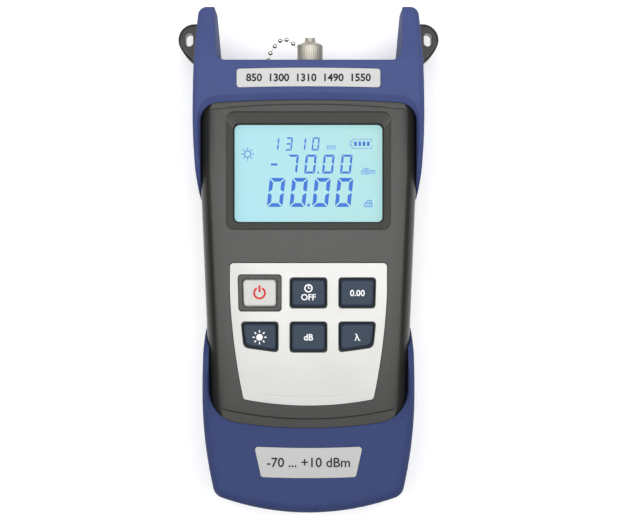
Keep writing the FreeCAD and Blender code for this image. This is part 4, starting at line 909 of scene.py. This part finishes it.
def fluted_cap(name):
    """A turned profile whose radius dips by a rounded wave wherever the grip mask is 1.

    The radius is multiplied by 1 less the depth times half of (1 plus the cosine of the number
    of flutes times the angle).
    """
    start, stop = low("dust_cap")[1], high("dust_cap")[1]
    axis_x, axis_z = middle("dust_cap")[[0, 2]]
    radius = (high("dust_cap")[0] - low("dust_cap")[0]) / 2
    rivet = (high("cap_rivet")[0] - low("cap_rivet")[0]) / 2
    boss = high("cap_rivet")[1] - 0.5
    # In turn: the lip and its rounded edge, a groove, the fluted grip, the shoulder and its cone,
    # the raised boss in the middle of the end, and the hole in it for the rivet.
    profile = np.array([
        (start, 3.99), (start, radius - 0.3), (start + 0.12, radius - 0.08), (start + 0.4, radius),
        (start + 0.9, radius), (start + 1.1, radius - 0.3), (start + 1.5, radius - 0.3),
        (start + 1.7, radius), (start + 1.75, radius), (stop - 1.5, radius), (stop - 1.42, radius),
        (stop - 1.1, radius - 0.12), (stop - 0.9, radius - 0.45), (stop - 0.2, 2.9), (stop, 2.45),
        (stop + 0.05, 2.1), (boss - 0.3, 2.1), (boss - 0.08, 2.0), (boss, 1.85),
        (boss, rivet + 0.03), (stop - 0.4, rivet + 0.03)])
    points = turned(profile, (axis_x, 0, axis_z), columns=8 * FLUTES)
    distance = points[..., 1] - start
    grip = ((distance > GRIP_START) & (distance < stop - start - GRIP_END)).astype(float)
    angle = np.linspace(0, 2 * np.pi, points.shape[1], endpoint=False)
    dip = 1 - FLUTE_DEPTH * grip * (0.5 + 0.5 * np.cos(FLUTES * angle))
    centre = np.array([axis_x, 0, axis_z])
    points[..., (0, 2)] = (points - centre)[..., (0, 2)] * dip[..., None] + centre[[0, 2]]
    return grid_mesh(name, points)


CAP_FINISH = brushed_metal("cap_finish", (0.42, 0.395, 0.33), 0.26, metallic=0.45)
nodes["cap_rivet"].material_slots[0].material = CAP_FINISH
finished("fluted_cap", fluted_cap("fluted_cap"), "dust_cap", CAP_FINISH, ("dust_cap",))
print("cap from", low("dust_cap").round(2), "to", high("dust_cap").round(2), "rivet",
      low("cap_rivet").round(2), high("cap_rivet").round(2))

# %% [markdown]
# ### Ball chain
#
# Hollow balls are pressed over short dumb-bell pins.

# %% Ball chain
BEAD, PIN = 0.9, 0.28  # radii
# Each ball's place from the anchor: across, and away from the housing.
ROUTE = ((0.0, 1.2), (0.3, 3.85), (1.15, 6.5), (2.85, 9.2), (4.9, 11.35), (7.4, 11.7), (9.9, 10.2))
anchor = np.array([middle("chain_anchor")[0], high("chain_anchor")[1], middle("chain_anchor")[2]])
CAP_SIDE, CAP_SHOULDER = 5.14, 1.8  # where the last pin meets the cap, from its axis and its top
hook = np.array([middle("dust_cap")[0] - CAP_SIDE, high("dust_cap")[1] - CAP_SHOULDER, anchor[2]])
balls = anchor + np.column_stack([np.array(ROUTE), np.zeros(len(ROUTE))])
stations = np.vstack([anchor, balls, hook])
run = np.concatenate([[0], np.cumsum(np.linalg.norm(np.diff(stations, axis=0), axis=1))])
shares = run / run[-1]
print("chain of", round(run[-1], 1), "mm with", len(balls), "balls")


# %% [markdown]
# A ball is a half circle turned round its middle, and a pin is a ring of points carried from one
# ball to the next.  Ready-made spheres and cylinders could stand in for them, but a turned grid
# lets the pins be waisted as drawn wire is.


# %% Balls and pins
def share_to_step(share):
    """Where smoothstep reaches a share: the inverse of t * t * (3 - 2 * t)."""
    return 0.5 - math.sin(math.asin(1 - 2 * min(max(share, 0), 1)) / 3)


def ball_mesh(name, centre):
    """A half circle turned round: minus the cosine is the distance and the sine the radius."""
    angle = np.linspace(0, np.pi, 15)
    profile = np.column_stack([-BEAD * np.cos(angle), BEAD * np.sin(angle)])
    return grid_mesh(name, turned(profile, centre, columns=24))


def pin_mesh(name, start, stop):
    """A round pin between two points: its radius is less by a sine, most at its middle."""
    along = (stop - start) / np.linalg.norm(stop - start)
    side = np.cross(along, (0, 0, 1))
    angle = np.linspace(0, 2 * np.pi, 12, endpoint=False)
    ring = np.outer(np.cos(angle), side) + np.outer(np.sin(angle), (0, 0, 1))
    step = np.linspace(0, 1, 7)
    radius = PIN * (1 - 0.25 * np.sin(np.pi * step))
    points = start + step[:, None, None] * (stop - start) + radius[:, None, None] * ring
    return grid_mesh(name, points)


# %% [markdown]
# ### Each piece's share of the cap's motion
#
# Each ball's start is worked out below it by the step that gives its share, along a line far longer
# than the ball, so that the whole ball would have one share.  A pin's start and end are worked out
# from the shares of the two balls it joins.  Nothing below uses these starts and ends or ties a ball
# or a pin to the cap.

# %% Place the chain
BLEND_SPAN = 1.0  # metres, far longer than a ball
for number, centre in enumerate(balls):
    share = shares[number + 1]
    ball = finished(f"chain_ball_{number + 1}", ball_mesh("ball", centre), None,
                    FINISHES["nickel"], ("tether_chain",) if number == 0 else ())
    start = centre * MM - np.array([0, 0, BLEND_SPAN * share_to_step(share)])
    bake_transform(ball)
for number, (start, stop) in enumerate(zip(stations[:-1], stations[1:])):
    pin = finished(f"chain_pin_{number + 1}", pin_mesh("pin", start, stop), None,
                   FINISHES["nickel"])
    first, last = share_to_step(shares[number]), share_to_step(shares[number + 1])
    whole = (stop - start) / (last - first)
    origin = start - first * whole
    tuple(origin * MM)
    tuple((origin + whole) * MM)
    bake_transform(pin)
print("shares of the cap's motion:", shares[1:-1].round(2))

# %% [markdown]
# ## Floor, light and camera
#
# A product picture is taken on a large pale sheet.  The floor here is one flat slab, which isn't
# part of the instrument.  A little emission keeps the soft shadows pale.


# %% Floor
FLOOR_SIDE, FLOOR_TOP, FLOOR_BOTTOM = 3000.0, -0.2, -1.2


def pale_floor():
    """A flat pale slab: one prism over a square round the origin."""
    corners = np.array([[-1, -1], [1, -1], [1, 1], [-1, 1]]) * FLOOR_SIDE
    mesh = prisms("floor", [corners], FLOOR_BOTTOM, FLOOR_TOP)
    paint = Paint("floor_finish", Specular_IOR_Level=0.1, Emission_Color=(1, 1, 1, 1),
                  Emission_Strength=0.2)
    paint.feed(Base_Color=paint.mix(paint.noise(400, 2.0), (0.92, 0.92, 0.92), (0.95, 0.95, 0.95)),
               Roughness=paint.noise(5, 2.0) * 0.1 + 0.7)
    mesh.materials.append(paint.material)
    floor = bpy.data.objects.new("floor", mesh)
    bpy.context.scene.collection.objects.link(floor)


pale_floor()
print("floor at", FLOOR_TOP, "mm")

# %% [markdown]
# ### Lamps and room
#
# One large soft box beyond the top end gives the face a slow fall of light towards its foot.
# Two long ones at the sides draw a soft gleam along the shoulders.  The room itself is a dim
# gradient, brightest overhead, so that sides that face the horizon stay dark and read as round.


# %% Lamps and room
def lamp(name, place, aim, size, power):
    """A rectangular soft box at a place, turned to face a point."""
    data = bpy.data.lights.new(name, "AREA")
    data.shape, data.energy = "RECTANGLE", power
    data.size, data.size_y = size
    item = bpy.data.objects.new(name, data)
    item.location = place
    direction = Vector(aim) - Vector(place)
    item.rotation_euler = direction.to_track_quat("-Z", "Y").to_euler()
    bpy.context.scene.collection.objects.link(item)


TOP_POWER, SIDE_POWER = 3.6, 4.2
lamp("top_lamp", (0.0, 0.38, 0.84), (0, 0.02, 0), (1.0, 0.6), TOP_POWER)
for side in (-1, 1):
    lamp(f"side_lamp_{side}", (0.42 * side, 0.0, 0.8), (0, 0, 0), (0.28, 1.0), SIDE_POWER)


def studio_room():
    """Soft light from all round: its strength rises smoothly with the height of its direction."""
    world = bpy.data.worlds.new("studio")
    bpy.context.scene.world = world
    world.use_nodes = True
    graph = world.node_tree.nodes
    links = world.node_tree.links
    direction = graph.new("ShaderNodeTexCoord")
    height = graph.new("ShaderNodeSeparateXYZ")
    ramp = graph.new("ShaderNodeMapRange")
    ramp.interpolation_type = "SMOOTHSTEP"
    for socket, number in (("From Min", 0.1), ("From Max", 0.95), ("To Min", 0.08), ("To Max", 0.3)):
        ramp.inputs[socket].default_value = number
    links.new(direction.outputs["Generated"], height.inputs[0])
    links.new(height.outputs["Z"], ramp.inputs["Value"])
    background = graph["Background"]
    background.inputs["Color"].default_value = (0.97, 0.98, 1.0, 1.0)
    links.new(ramp.outputs["Result"], background.inputs["Strength"])


studio_room()
bpy.context.scene.view_settings.view_transform = "Standard"
print("lamps of", TOP_POWER, "W above and", SIDE_POWER, "W at each side")

# %% [markdown]
# ### Camera
#
# The camera looks straight down on the face.  A new camera already looks along minus Z, so it
# only needs its height.  From arm's length through a long lens the sides hardly show, which keeps
# the instrument's outline true.

# %% Camera
SENSOR, LENS, CAMERA_PLACE = 36.0, 93.4, (0.0002, 0.0004, 0.640)
camera_data = bpy.data.cameras.new("camera")
camera_data.sensor_width, camera_data.lens = SENSOR, LENS
camera_data.clip_start, camera_data.clip_end = 0.01, 10.0
camera = bpy.data.objects.new("camera", camera_data)
camera.location = CAMERA_PLACE
bpy.context.scene.collection.objects.link(camera)
bpy.context.scene.camera = camera
print("camera at", CAMERA_PLACE, "with a", LENS, "mm lens")
